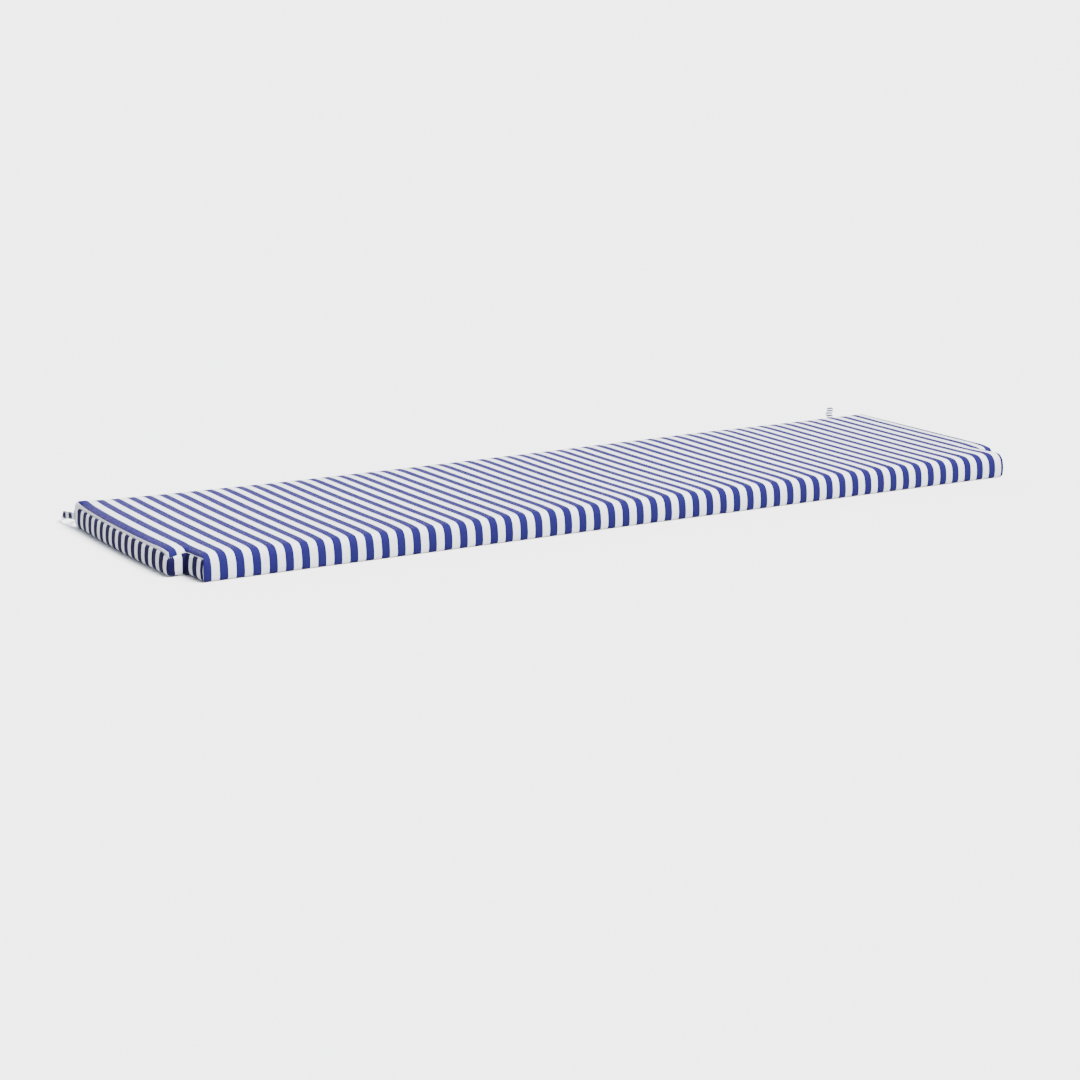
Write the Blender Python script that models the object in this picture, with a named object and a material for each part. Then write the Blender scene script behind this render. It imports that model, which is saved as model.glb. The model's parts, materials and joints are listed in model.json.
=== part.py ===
"""Long bench cushion: one filled pad with notched front corners, two sewn end panels, four ties.

Metres, +Z up. X runs along the length, the front is at -Y and the underside lies on Z = 0.
The origin is at the middle of the underside.
"""

import math

import bmesh
import bpy
from mathutils import Vector

# Whole cushion
LENGTH = 1.496
DEPTH = 0.433
HALF_LENGTH = LENGTH / 2
HALF_DEPTH = DEPTH / 2

# Notches cut from both front corners
NOTCH_WIDTH = 0.0275
NOTCH_DEPTH = 0.0545

# Sewn panels that close the two ends and line the notches
PANEL_THICKNESS = 0.0014
PIECE_GAP = 0.0005
PANEL_ROOM = PANEL_THICKNESS + PIECE_GAP

# Corner radii of the filled body in plan
OUTER_CORNER = 0.004
INNER_CORNER = 0.003
TIGHTEST_CORNER = 0.0006
ARC_STEPS = 4

# Corners of the outline in the order in which it runs round the body
CORNER_COUNT = 8
FLAP_LEFT, FLAP_RIGHT, HOLLOW_RIGHT, SHOULDER_RIGHT = range(4)
REAR_RIGHT, REAR_LEFT, SHOULDER_LEFT, HOLLOW_LEFT = range(4, CORNER_COUNT)

# Edge of the filled body from the underside up. The walls that face along the length lean in
# before they turn over to the top, and the front and rear walls turn over in a broader bend.
EDGE_ROWS = (
    # height, inset of the walls that face along the length, inset of the front and rear walls
    (0.0000, 0.0072, 0.0072),
    (0.0006, 0.0044, 0.0036),
    (0.0022, 0.0024, 0.0014),
    (0.0055, 0.0009, 0.0004),
    (0.0110, 0.0001, 0.0000),
    (0.0170, 0.0000, 0.0000),
    (0.0230, 0.0005, 0.0002),
    (0.0285, 0.0013, 0.0009),
    (0.0328, 0.0024, 0.0026),
    (0.0358, 0.0034, 0.0049),
    (0.0379, 0.0050, 0.0078),
    (0.0391, 0.0078, 0.0116),
    (0.0396, 0.0130, 0.0170),
)
PANEL_FIRST_ROW = 2
PANEL_LAST_ROW = 8
SEAM_HEIGHT = EDGE_ROWS[PANEL_LAST_ROW][0]
TOP_HEIGHT = EDGE_ROWS[-1][0]

# Crown of the top, how far each end bows outwards, and how far the front and rear draw in
CROWN = 0.0008
LEFT_BOW = 0.0055
RIGHT_BOW = 0.0012
SIDE_PULL = 0.0012

# Slack waves of the top: how much higher it stands than TOP_HEIGHT along the rear and the front
TOP_WAVES = (
    # along, rise at the rear, rise at the front
    (-0.755, 0.0044, 0.0008),
    (-0.690, 0.0024, 0.0006),
    (-0.560, 0.0006, 0.0000),
    (-0.370, -0.0012, -0.0004),
    (-0.180, -0.0014, 0.0004),
    (0.040, -0.0006, 0.0002),
    (0.220, 0.0008, 0.0000),
    (0.400, 0.0022, 0.0004),
    (0.580, 0.0014, 0.0002),
    (0.755, 0.0014, 0.0016),
)

# Rear left corner, where the filling pushes outwards and the top stands a little higher
EAR_PUSH = 0.0040
EAR_LOW_SHARE = 0.30
EAR_REACH = 0.024
EAR_FOOT = 0.020
EAR_HEAD = 0.036
EAR_LIFT = 0.0030
EAR_LIFT_REACH = 0.062

# Planes that divide the long faces so that they can curve, closer together near that corner
DIVISION = 0.050
DIVISIONS_ALONG = 14
DIVISIONS_ACROSS = 3
EAR_DIVISIONS = (0.012, 0.024)

# Flat ties, sewn in pairs into the two rear corners
TIE_LENGTH = 0.280
TIE_WIDTH = 0.011
TIE_THICKNESS = 0.0018
TIE_ROOT_HEIGHT = 0.018
TIE_CLEARANCE = 0.0003
TIE_STATIONS = 48
TIE_TWIST_START = 0.040
TIE_TWIST_END = 0.100

# Finishes
CANVAS_COLOUR = (0.47, 0.49, 0.70, 1.0)
PANEL_COLOUR = (0.38, 0.40, 0.62, 1.0)
TIE_COLOUR = (0.22, 0.24, 0.55, 1.0)
CANVAS_ROUGHNESS = 0.85


def clear_scene():
    """Remove every object, so the script can be run again."""
    for item in list(bpy.data.objects):
        bpy.data.objects.remove(item, do_unlink=True)


def cloth_material(name, colour):
    """A matt woven cloth in one colour."""
    material = bpy.data.materials.new(name)
    material.use_nodes = True
    shader = material.node_tree.nodes["Principled BSDF"]
    shader.inputs["Base Color"].default_value = colour
    shader.inputs["Roughness"].default_value = CANVAS_ROUGHNESS
    shader.inputs["Metallic"].default_value = 0.0
    return material


def add_object(name, mesh_data, material):
    """Turn a bmesh into a named, smooth-shaded object of the scene."""
    mesh = bpy.data.meshes.new(name)
    mesh_data.to_mesh(mesh)
    mesh_data.free()
    mesh.materials.append(material)
    mesh.shade_smooth()
    item = bpy.data.objects.new(name, mesh)
    bpy.context.scene.collection.objects.link(item)
    return item


def plan_corners():
    """Corners of the body's outline, counter-clockwise: place, radius and whether it is hollow."""
    end = HALF_LENGTH - PANEL_ROOM
    flap_end = end - NOTCH_WIDTH
    front = -HALF_DEPTH
    notch_back = front + NOTCH_DEPTH + PANEL_ROOM
    return (
        (Vector((-flap_end, front)), OUTER_CORNER, False),
        (Vector((flap_end, front)), OUTER_CORNER, False),
        (Vector((flap_end, notch_back)), INNER_CORNER, True),
        (Vector((end, notch_back)), OUTER_CORNER, False),
        (Vector((end, HALF_DEPTH)), OUTER_CORNER, False),
        (Vector((-end, HALF_DEPTH)), OUTER_CORNER, False),
        (Vector((-end, notch_back)), OUTER_CORNER, False),
        (Vector((-flap_end, notch_back)), INNER_CORNER, True),
    )


def outline(end_inset, front_inset):
    """The body's outline moved inwards, with an arc of ARC_STEPS + 1 points at each corner."""
    corners = plan_corners()
    points = []
    for index, (place, radius, hollow) in enumerate(corners):
        came_from = corners[index - 1][0]
        goes_to = corners[(index + 1) % CORNER_COUNT][0]
        heading_in = (place - came_from).normalized()
        heading_out = (goes_to - place).normalized()
        inward = heading_in.orthogonal() + heading_out.orthogonal()
        smaller_inset = min(end_inset, front_inset)
        if hollow:
            arc_radius = radius + smaller_inset
        else:
            arc_radius = max(radius - smaller_inset, TIGHTEST_CORNER)
        corner = place + Vector((inward.x * end_inset, inward.y * front_inset))
        centre = corner + (heading_out - heading_in) * arc_radius
        for step in range(ARC_STEPS + 1):
            angle = math.radians(90 * step / ARC_STEPS)
            reach = heading_in * math.sin(angle) - heading_out * math.cos(angle)
            points.append(centre + reach * arc_radius)
    return points


def ring(mesh_data, height, end_inset, front_inset):
    """One closed row of vertices around the body."""
    points = outline(end_inset, front_inset)
    return [mesh_data.verts.new((point.x, point.y, height)) for point in points]


def divide(mesh_data):
    """Cut the mesh by upright planes along and across the cushion."""
    cuts = []
    for step in range(-DIVISIONS_ALONG, DIVISIONS_ALONG + 1):
        cuts.append((Vector((step * DIVISION, 0, 0)), Vector((1, 0, 0))))
    for step in range(-DIVISIONS_ACROSS, DIVISIONS_ACROSS + 1):
        cuts.append((Vector((0, step * DIVISION, 0)), Vector((0, 1, 0))))
    for distance in EAR_DIVISIONS:
        cuts.append((Vector((distance - HALF_LENGTH, 0, 0)), Vector((1, 0, 0))))
        cuts.append((Vector((0, HALF_DEPTH - distance, 0)), Vector((0, 1, 0))))
    for place, normal in cuts:
        everything = mesh_data.verts[:] + mesh_data.edges[:] + mesh_data.faces[:]
        bmesh.ops.bisect_plane(mesh_data, geom=everything, plane_co=place, plane_no=normal)
    bmesh.ops.triangulate(mesh_data, faces=mesh_data.faces[:])


def ease(share):
    """Smooth step from 0 to 1, flat outside."""
    share = min(max(share, 0.0), 1.0)
    return share * share * (3 - 2 * share)


def top_rise(x, y):
    """How much higher than TOP_HEIGHT the slack cloth of the top stands at one place."""
    share = min(max((y + HALF_DEPTH) / DEPTH, 0.0), 1.0)
    for start, stop in zip(TOP_WAVES, TOP_WAVES[1:]):
        if start[0] <= x <= stop[0]:
            along = ease((x - start[0]) / (stop[0] - start[0]))
            rear = start[1] + (stop[1] - start[1]) * along
            front = start[2] + (stop[2] - start[2]) * along
            return front + (rear - front) * share
    return 0.0


def near_ear(x, y, reach):
    """1 at the rear left corner, fading to 0 at a distance of reach along either side."""
    return (1 - ease((x + HALF_LENGTH) / reach)) * (1 - ease((HALF_DEPTH - y) / reach))


def ear_push(x, y, z):
    """How far the filling pushes the rear left corner outwards at one place."""
    high = ease((z - EAR_FOOT) / (EAR_HEAD - EAR_FOOT))
    return EAR_PUSH * near_ear(x, y, EAR_REACH) * (EAR_LOW_SHARE + (1 - EAR_LOW_SHARE) * high)


def settle(mesh_data):
    """Raise the crown, the waves and the ear, bow the ends out and draw the sides in."""
    for vertex in mesh_data.verts:
        x, y, z = vertex.co
        along = x / HALF_LENGTH
        across = y / HALF_DEPTH
        lift = max(0.0, (z - SEAM_HEIGHT) / (TOP_HEIGHT - SEAM_HEIGHT))
        crown = CROWN * (1 - along ** 6) * (1 - across ** 2)
        rise = crown + top_rise(x, y) + EAR_LIFT * near_ear(x, y, EAR_LIFT_REACH)
        bow = RIGHT_BOW if x > 0 else LEFT_BOW
        vertex.co.x = x + along * bow * (1 - across ** 2) - ear_push(x, y, z)
        vertex.co.y = y - across * SIDE_PULL * (1 - along ** 2)
        vertex.co.z = z + lift * rise


def build_cushion(material):
    """The filled body: top, front, rear and underside in one closed form."""
    mesh_data = bmesh.new()
    rings = [ring(mesh_data, *row) for row in EDGE_ROWS]
    for lower, upper in zip(rings, rings[1:]):
        for index in range(len(lower)):
            following = (index + 1) % len(lower)
            mesh_data.faces.new((lower[index], lower[following], upper[following], upper[index]))
    mesh_data.faces.new(list(reversed(rings[0])))
    mesh_data.faces.new(rings[-1])
    divide(mesh_data)
    settle(mesh_data)
    return add_object("cushion", mesh_data, material)


def panel_points(side):
    """Which points of an outline the panel of one side covers, from the front to the rear."""
    arc = ARC_STEPS + 1
    if side > 0:
        return list(range(FLAP_RIGHT * arc + ARC_STEPS, REAR_RIGHT * arc + 1))
    return list(range(CORNER_COUNT * arc, REAR_LEFT * arc + ARC_STEPS - 1, -1))


def build_end_panel(name, side, material):
    """The strip of cloth that closes one end and lines its notch, a little outside the body."""
    mesh_data = bmesh.new()
    points = panel_points(side)
    rows = EDGE_ROWS[PANEL_FIRST_ROW:PANEL_LAST_ROW + 1]
    inner = []
    outer = []
    for height, end_inset, front_inset in rows:
        near = outline(end_inset - PIECE_GAP, front_inset - PIECE_GAP)
        far = outline(end_inset - PANEL_ROOM, front_inset - PANEL_ROOM)
        inner.append([mesh_data.verts.new((*near[p % len(near)], height)) for p in points])
        outer.append([mesh_data.verts.new((*far[p % len(far)], height)) for p in points])
    last_row = len(rows) - 1
    last_point = len(points) - 1
    for row in range(last_row):
        for p in range(last_point):
            for wall in (inner, outer):
                corner = (wall[row][p], wall[row][p + 1], wall[row + 1][p + 1], wall[row + 1][p])
                mesh_data.faces.new(corner)
        for p in (0, last_point):
            edge = (inner[row][p], outer[row][p], outer[row + 1][p], inner[row + 1][p])
            mesh_data.faces.new(edge)
    for row in (0, last_row):
        for p in range(last_point):
            mesh_data.faces.new((inner[row][p], inner[row][p + 1], outer[row][p + 1], outer[row][p]))
    bmesh.ops.recalc_face_normals(mesh_data, faces=mesh_data.faces[:])
    divide(mesh_data)
    settle(mesh_data)
    return add_object(name, mesh_data, material)


def rear_corner(side, outward, behind, height):
    """A place given from a rear corner: outward past the end, behind the rear, and above Z = 0."""
    return Vector((side * (HALF_LENGTH + outward), HALF_DEPTH + behind, height))


def smooth_curve(places, steps=24):
    """A dense Catmull-Rom curve through the places."""
    ends = [places[0] * 2 - places[1]] + places + [places[-1] * 2 - places[-2]]
    curve = []
    for before, start, stop, after in zip(ends, ends[1:], ends[2:], ends[3:]):
        for step in range(steps):
            t = step / steps
            level = start * 2 + (stop - before) * t
            bend = (before * 2 - start * 5 + stop * 4 - after) * t ** 2
            twist = (start * 3 - before - stop * 3 + after) * t ** 3
            curve.append((level + bend + twist) / 2)
    curve.append(places[-1])
    return curve


def stations(curve, length, count):
    """Evenly spaced places along the first part of a curve, with how far along each one lies."""
    result = [(curve[0], 0.0)]
    travelled = 0.0
    spacing = length / (count - 1)
    for start, stop in zip(curve, curve[1:]):
        stretch = (stop - start).length
        while len(result) < count and travelled + stretch >= len(result) * spacing - 1e-9:
            distance = len(result) * spacing
            result.append((start.lerp(stop, (distance - travelled) / stretch), distance))
        travelled += stretch
    return result


def build_tie(name, side, route, material):
    """A flat strip on edge where it is sewn in, which turns over and lies flat behind the cushion."""
    mesh_data = bmesh.new()
    curve = smooth_curve([rear_corner(side, *place) for place in route])
    places = stations(curve, TIE_LENGTH, TIE_STATIONS)
    sections = []
    for index, (place, distance) in enumerate(places):
        before = places[max(index - 1, 0)][0]
        after = places[min(index + 1, len(places) - 1)][0]
        heading = (after - before).normalized()
        sideways = heading.cross(Vector((0, 0, 1))).normalized()
        upright = sideways.cross(heading)
        share = (distance - TIE_TWIST_START) / (TIE_TWIST_END - TIE_TWIST_START)
        angle = math.pi / 2 * ease(share)
        across = upright * math.cos(angle) + sideways * math.sin(angle)
        through = across.cross(heading)
        lowest = abs(across.z) * TIE_WIDTH / 2 + abs(through.z) * TIE_THICKNESS / 2
        place = Vector((place.x, place.y, max(place.z, lowest + TIE_CLEARANCE)))
        half_width = across * TIE_WIDTH / 2
        half_thickness = through * TIE_THICKNESS / 2
        corners = (
            place + half_width + half_thickness,
            place + half_width - half_thickness,
            place - half_width - half_thickness,
            place - half_width + half_thickness,
        )
        sections.append([mesh_data.verts.new(corner) for corner in corners])
    for start, stop in zip(sections, sections[1:]):
        for index in range(4):
            following = (index + 1) % 4
            mesh_data.faces.new((start[index], start[following], stop[following], stop[index]))
    mesh_data.faces.new(sections[0])
    mesh_data.faces.new(list(reversed(sections[-1])))
    bmesh.ops.recalc_face_normals(mesh_data, faces=mesh_data.faces[:])
    return add_object(name, mesh_data, material)


# Routes of the ties from their rear corner: outward, behind, height. A height of 0 is lying down.
LEFT_OUTER_ROUTE = (
    (0.0002, -0.0008, TIE_ROOT_HEIGHT),
    (0.0002, 0.010, 0.0172),
    (0.0003, 0.021, 0.0158),
    (0.0006, 0.033, 0.0144),
    (0.0009, 0.045, 0.0127),
    (-0.002, 0.057, 0.0100),
    (-0.010, 0.067, 0.0064),
    (-0.022, 0.075, 0.0026),
    (-0.038, 0.080, 0.0),
    (-0.057, 0.082, 0.0),
    (-0.077, 0.081, 0.0),
    (-0.097, 0.079, 0.0),
    (-0.117, 0.081, 0.0),
    (-0.137, 0.088, 0.0),
    (-0.157, 0.097, 0.0),
    (-0.178, 0.103, 0.0),
    (-0.199, 0.104, 0.0),
    (-0.220, 0.099, 0.0),
)
LEFT_INNER_ROUTE = (
    (-0.0040, 0.0006, TIE_ROOT_HEIGHT),
    (-0.0048, 0.010, TIE_ROOT_HEIGHT),
    (-0.009, 0.023, 0.0175),
    (-0.018, 0.034, 0.0150),
    (-0.031, 0.042, 0.0105),
    (-0.046, 0.046, 0.0060),
    (-0.063, 0.046, 0.0022),
    (-0.081, 0.042, 0.0),
    (-0.099, 0.037, 0.0),
    (-0.118, 0.035, 0.0),
    (-0.138, 0.038, 0.0),
    (-0.157, 0.045, 0.0),
    (-0.176, 0.052, 0.0),
    (-0.196, 0.056, 0.0),
    (-0.217, 0.055, 0.0),
    (-0.238, 0.049, 0.0),
    (-0.258, 0.042, 0.0),
)
RIGHT_OUTER_ROUTE = (
    (-0.0012, -0.0010, TIE_ROOT_HEIGHT),
    (-0.0010, 0.012, TIE_ROOT_HEIGHT),
    (0.0000, 0.028, 0.0178),
    (0.0020, 0.044, 0.0160),
    (0.0050, 0.060, 0.0115),
    (0.009, 0.076, 0.0065),
    (0.014, 0.092, 0.0022),
    (0.020, 0.108, 0.0),
    (0.027, 0.124, 0.0),
    (0.036, 0.140, 0.0),
    (0.047, 0.156, 0.0),
    (0.058, 0.171, 0.0),
    (0.068, 0.188, 0.0),
    (0.079, 0.204, 0.0),
    (0.092, 0.219, 0.0),
    (0.105, 0.235, 0.0),
    (0.115, 0.252, 0.0),
    (0.125, 0.269, 0.0),
)
RIGHT_INNER_ROUTE = (
    (-0.0040, 0.0006, TIE_ROOT_HEIGHT),
    (-0.0048, 0.010, TIE_ROOT_HEIGHT),
    (-0.009, 0.023, 0.0175),
    (-0.017, 0.036, 0.0148),
    (-0.029, 0.046, 0.0100),
    (-0.044, 0.052, 0.0055),
    (-0.061, 0.055, 0.0020),
    (-0.079, 0.058, 0.0),
    (-0.096, 0.065, 0.0),
    (-0.113, 0.075, 0.0),
    (-0.131, 0.083, 0.0),
    (-0.151, 0.086, 0.0),
    (-0.171, 0.082, 0.0),
    (-0.189, 0.074, 0.0),
    (-0.208, 0.067, 0.0),
    (-0.229, 0.065, 0.0),
    (-0.250, 0.068, 0.0),
)


def main():
    """Build every piece of the cushion."""
    clear_scene()
    build_cushion(cloth_material("cushion_canvas", CANVAS_COLOUR))
    build_end_panel("end_panel_left", -1, cloth_material("panel_left_canvas", PANEL_COLOUR))
    build_end_panel("end_panel_right", 1, cloth_material("panel_right_canvas", PANEL_COLOUR))
    ties = (
        ("tie_left_outer", -1, LEFT_OUTER_ROUTE),
        ("tie_left_inner", -1, LEFT_INNER_ROUTE),
        ("tie_right_outer", 1, RIGHT_OUTER_ROUTE),
        ("tie_right_inner", 1, RIGHT_INNER_ROUTE),
    )
    for name, side, route in ties:
        build_tie(name, side, route, cloth_material(name + "_canvas", TIE_COLOUR))


main()
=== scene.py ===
"""The looks of a long bench cushion in striped canvas: cover, end panels, ties, seams and studio.

Metres, +Z up. X runs along the length, the front is at -Y and the underside lies on Z = 0.
"""

import json
import logging
import math
import random
from dataclasses import dataclass, field
from enum import Enum, IntEnum

import bmesh
import bpy
import numpy as np
from mathutils import Matrix, Vector
from mathutils.kdtree import KDTree

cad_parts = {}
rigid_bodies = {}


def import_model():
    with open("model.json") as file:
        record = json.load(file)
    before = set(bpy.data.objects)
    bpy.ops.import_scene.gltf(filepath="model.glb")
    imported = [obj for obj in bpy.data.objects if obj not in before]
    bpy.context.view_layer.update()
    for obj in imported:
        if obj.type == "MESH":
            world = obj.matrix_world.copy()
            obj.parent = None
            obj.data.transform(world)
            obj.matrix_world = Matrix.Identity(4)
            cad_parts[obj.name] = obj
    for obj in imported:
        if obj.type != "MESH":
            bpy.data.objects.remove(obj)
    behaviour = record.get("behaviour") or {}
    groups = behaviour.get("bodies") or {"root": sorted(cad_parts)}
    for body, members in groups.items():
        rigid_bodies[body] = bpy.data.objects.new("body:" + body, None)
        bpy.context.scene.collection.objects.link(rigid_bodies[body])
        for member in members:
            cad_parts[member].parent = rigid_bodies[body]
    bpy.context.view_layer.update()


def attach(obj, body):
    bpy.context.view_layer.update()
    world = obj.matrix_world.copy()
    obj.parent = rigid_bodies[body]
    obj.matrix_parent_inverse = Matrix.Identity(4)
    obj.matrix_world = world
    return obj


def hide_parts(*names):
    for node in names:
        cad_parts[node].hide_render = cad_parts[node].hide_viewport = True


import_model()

BODY = "root"
CLOTH_MAP = "cloth"
STRIPE_PITCH = 0.0256
# The end panels and ties take a darker blue than the cover, which paints the shade that they lie in;
# their blue also takes more of the pitch than on the cover.
PAINTED_SHADE_BLUE = (0.0044, 0.0024, 0.034)
PANEL_AND_TIE_BLUE_SHARE = 0.56
# Lengths that differ by less than this are taken as equal.
TOUCHING = 1e-9
LOG = logging.getLogger("bench_cushion")

Array = np.ndarray
Colour = tuple[float, float, float]
Feed = bpy.types.NodeSocket | float | tuple[float, ...]


# ---------------------------------------------------------------------------------------------
# Small helpers
# ---------------------------------------------------------------------------------------------

def ease(share: Array) -> Array:
    """Smooth step from 0 to 1, flat outside."""
    share = np.clip(share, 0.0, 1.0)
    return share * share * (3 - 2 * share)


def unit(vector: Array) -> Array:
    """The vector at length 1."""
    return vector / np.linalg.norm(vector)


def spline(before: Array | Vector, start: Array | Vector, stop: Array | Vector, after: Array | Vector,
           share: float) -> Array | Vector:
    """Smooth curve through four places, between the middle two.

    Args:
        before: The place ahead of the stretch.
        start: Where the stretch starts.
        stop: Where it ends.
        after: The place beyond it.
        share: How far along the stretch, from 0 to 1.

    Returns:
        The place on the curve.
    """
    level = start * 2 + (stop - before) * share
    bend = (before * 2 - start * 5 + stop * 4 - after) * share ** 2
    twist = (start * 3 - before - stop * 3 + after) * share ** 3
    return (level + bend + twist) / 2


def graded(length: float, first: float, last: float, widest: float, growth: float = 0.28) -> Array:
    """Places along a stretch whose spacing is fine at both ends and coarser in between.

    Args:
        length: The stretch, in metres.
        first: Spacing at its start.
        last: Spacing at its end.
        widest: Largest spacing.
        growth: How much the spacing grows for each metre away from an end.

    Returns:
        Places from 0 to length, both included.
    """
    places = [0.0]
    while places[-1] < length:
        here = places[-1]
        step = min(widest, first + growth * here, last + growth * max(length - here, 0.0))
        places.append(here + step)
    return np.array(places) * (length / places[-1])


@dataclass(frozen=True)
class Ripple:
    """An irregular wave along a line, the same each run.

    Attributes:
        height: How far it swings to either side, in metres.
        lengths: Its wave lengths, in metres.
        seed: Chooses the phases.
    """

    height: float
    lengths: tuple[float, ...]
    seed: int

    def at(self, along: Array) -> Array:
        """Height of the wave at places along the line.

        Args:
            along: The places, in metres.

        Returns:
            The height at each place.
        """
        chance = random.Random(self.seed)
        total = np.zeros_like(along, dtype=float)
        for length in self.lengths:
            phase = chance.uniform(0, 2 * math.pi)
            total += np.sin(2 * math.pi * along / length + phase)
        return total * self.height / len(self.lengths)


def cells(ids: Array) -> Array:
    """Faces between the rows and columns of a grid of indices."""
    return np.stack((ids[:-1, :-1], ids[:-1, 1:], ids[1:, 1:], ids[1:, :-1]), axis=-1).reshape(-1, 4)


def ring_cells(rings: Array) -> Array:
    """Faces between closed rings of indices, one ring in each row."""
    return cells(np.column_stack((rings, rings[:, 0])))


def linked(name: str, data: bpy.types.ID) -> bpy.types.Object:
    """Make an object in the scene.

    Args:
        name: Its name.
        data: Its mesh, lamp or camera.

    Returns:
        The new object.
    """
    piece = bpy.data.objects.new(name, data)
    bpy.context.scene.collection.objects.link(piece)
    return piece


def raw_mesh(name: str, points: Array | list, edges: list, faces: list) -> bpy.types.Mesh:
    """Make a mesh.

    Args:
        name: Its name.
        points: Corners, one row each, in metres.
        edges: Index pairs of loose edges.
        faces: Index tuples of the corners of each face.

    Returns:
        The new mesh.
    """
    mesh = bpy.data.meshes.new(name)
    mesh.from_pydata([tuple(map(float, point)) for point in points], edges, faces)
    return mesh


def finished_mesh(piece: bpy.types.Object) -> bpy.types.Mesh:
    """The mesh of an object after its modifiers."""
    graph = bpy.context.evaluated_depsgraph_get()
    return bpy.data.meshes.new_from_object(piece.evaluated_get(graph))


def mesh_places(mesh: bpy.types.Mesh) -> Array:
    """Places of a mesh's corners, one row each."""
    return np.array([tuple(vertex.co) for vertex in mesh.vertices])


def mesh_piece(name: str, points: Array, faces: list, material: bpy.types.Material,
               cloth: Array | None = None) -> bpy.types.Object:
    """Make a closed, smooth-shaded mesh with its place in its points.

    Args:
        name: Name of the object.
        points: Corners, one row each, in metres.
        faces: Index tuples of the corners of each face.
        material: Its finish.
        cloth: Where each corner lies on the flat cloth, in metres.

    Returns:
        The new object.
    """
    mesh = raw_mesh(name, points, [], faces)
    if cloth is not None:
        attribute = mesh.attributes.new(CLOTH_MAP, "FLOAT_VECTOR", "POINT")
        flat = np.zeros((len(points), 3), dtype=np.float32)
        flat[:, :2] = cloth
        attribute.data.foreach_set("vector", flat.ravel())
    mesh.materials.append(material)
    work = bmesh.new()
    work.from_mesh(mesh)
    bmesh.ops.recalc_face_normals(work, faces=work.faces[:])
    work.to_mesh(mesh)
    work.free()
    mesh.shade_smooth()
    return linked(name, mesh)


def dress(piece: bpy.types.Object, slot: str, *nodes: str) -> None:
    """Let a piece ride on the cushion, log its finish's slot and hide the solids that it stands for.

    Args:
        piece: The finished piece.
        slot: Material slot of the record.
        nodes: Names of the solids that it replaces.
    """
    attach(piece, BODY)
    if nodes:
        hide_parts(*nodes)
    LOG.info("%s: %d faces, %s", piece.name, len(piece.data.polygons), slot)


# ---------------------------------------------------------------------------------------------
# Finishes
# ---------------------------------------------------------------------------------------------

class Socket(Enum):
    """Kinds of socket of a shader group."""

    NUMBER = "NodeSocketFloat"
    VECTOR = "NodeSocketVector"


class Wiring:
    """Adds nodes to one node tree and joins them.

    Attributes:
        low_colour: Number of the first colour among the inputs of a blend.
        high_colour: Number of the second colour there.
        blended: Number of the blended colour among the outputs.
    """

    low_colour: int = 6
    high_colour: int = 7
    blended: int = 2

    def __init__(self, tree: bpy.types.NodeTree) -> None:
        """Work on one tree."""
        self.tree = tree

    def fill(self, node: bpy.types.Node, feeds: dict[str | int, Feed]) -> None:
        """Feed the inputs of a node.

        Args:
            node: The node.
            feeds: A socket, number, vector or colour for each input, by its name or number.
        """
        for name, value in feeds.items():
            socket = node.inputs[name]
            if isinstance(value, bpy.types.NodeSocket):
                self.tree.links.new(value, socket)
            elif socket.type == "RGBA":
                socket.default_value = (*value, 1.0)
            else:
                socket.default_value = value

    def add(self, kind: str, feeds: dict[str | int, Feed] | None = None,
            **settings: str | bool | bpy.types.NodeTree) -> bpy.types.Node:
        """Add a node.

        Args:
            kind: Its type.
            feeds: What goes into its inputs, by their names or numbers.
            settings: Its other settings.

        Returns:
            The node.
        """
        node = self.tree.nodes.new(kind)
        for name, value in settings.items():
            setattr(node, name, value)
        self.fill(node, feeds or {})
        return node

    def mix(self, mask: bpy.types.NodeSocket, low: Feed, high: Feed) -> bpy.types.NodeSocket:
        """Blend two colours: low where the mask is 0 and high where it is 1."""
        feeds = {"Factor": mask, self.low_colour: low, self.high_colour: high}
        return self.add("ShaderNodeMix", feeds, data_type="RGBA").outputs[self.blended]

    def between(self, value: bpy.types.NodeSocket, ends: tuple[float, float],
                source: tuple[float, float] = (0.0, 1.0)) -> bpy.types.NodeSocket:
        """Carry a number from one range into another.

        Args:
            value: The number.
            ends: The range that it is carried into.
            source: The range that it comes from.

        Returns:
            The socket of the new number.
        """
        (start, stop), (low, high) = source, ends
        feeds = {"Value": value, "From Min": start, "From Max": stop, "To Min": low, "To Max": high}
        return self.add("ShaderNodeMapRange", feeds).outputs[0]


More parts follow.
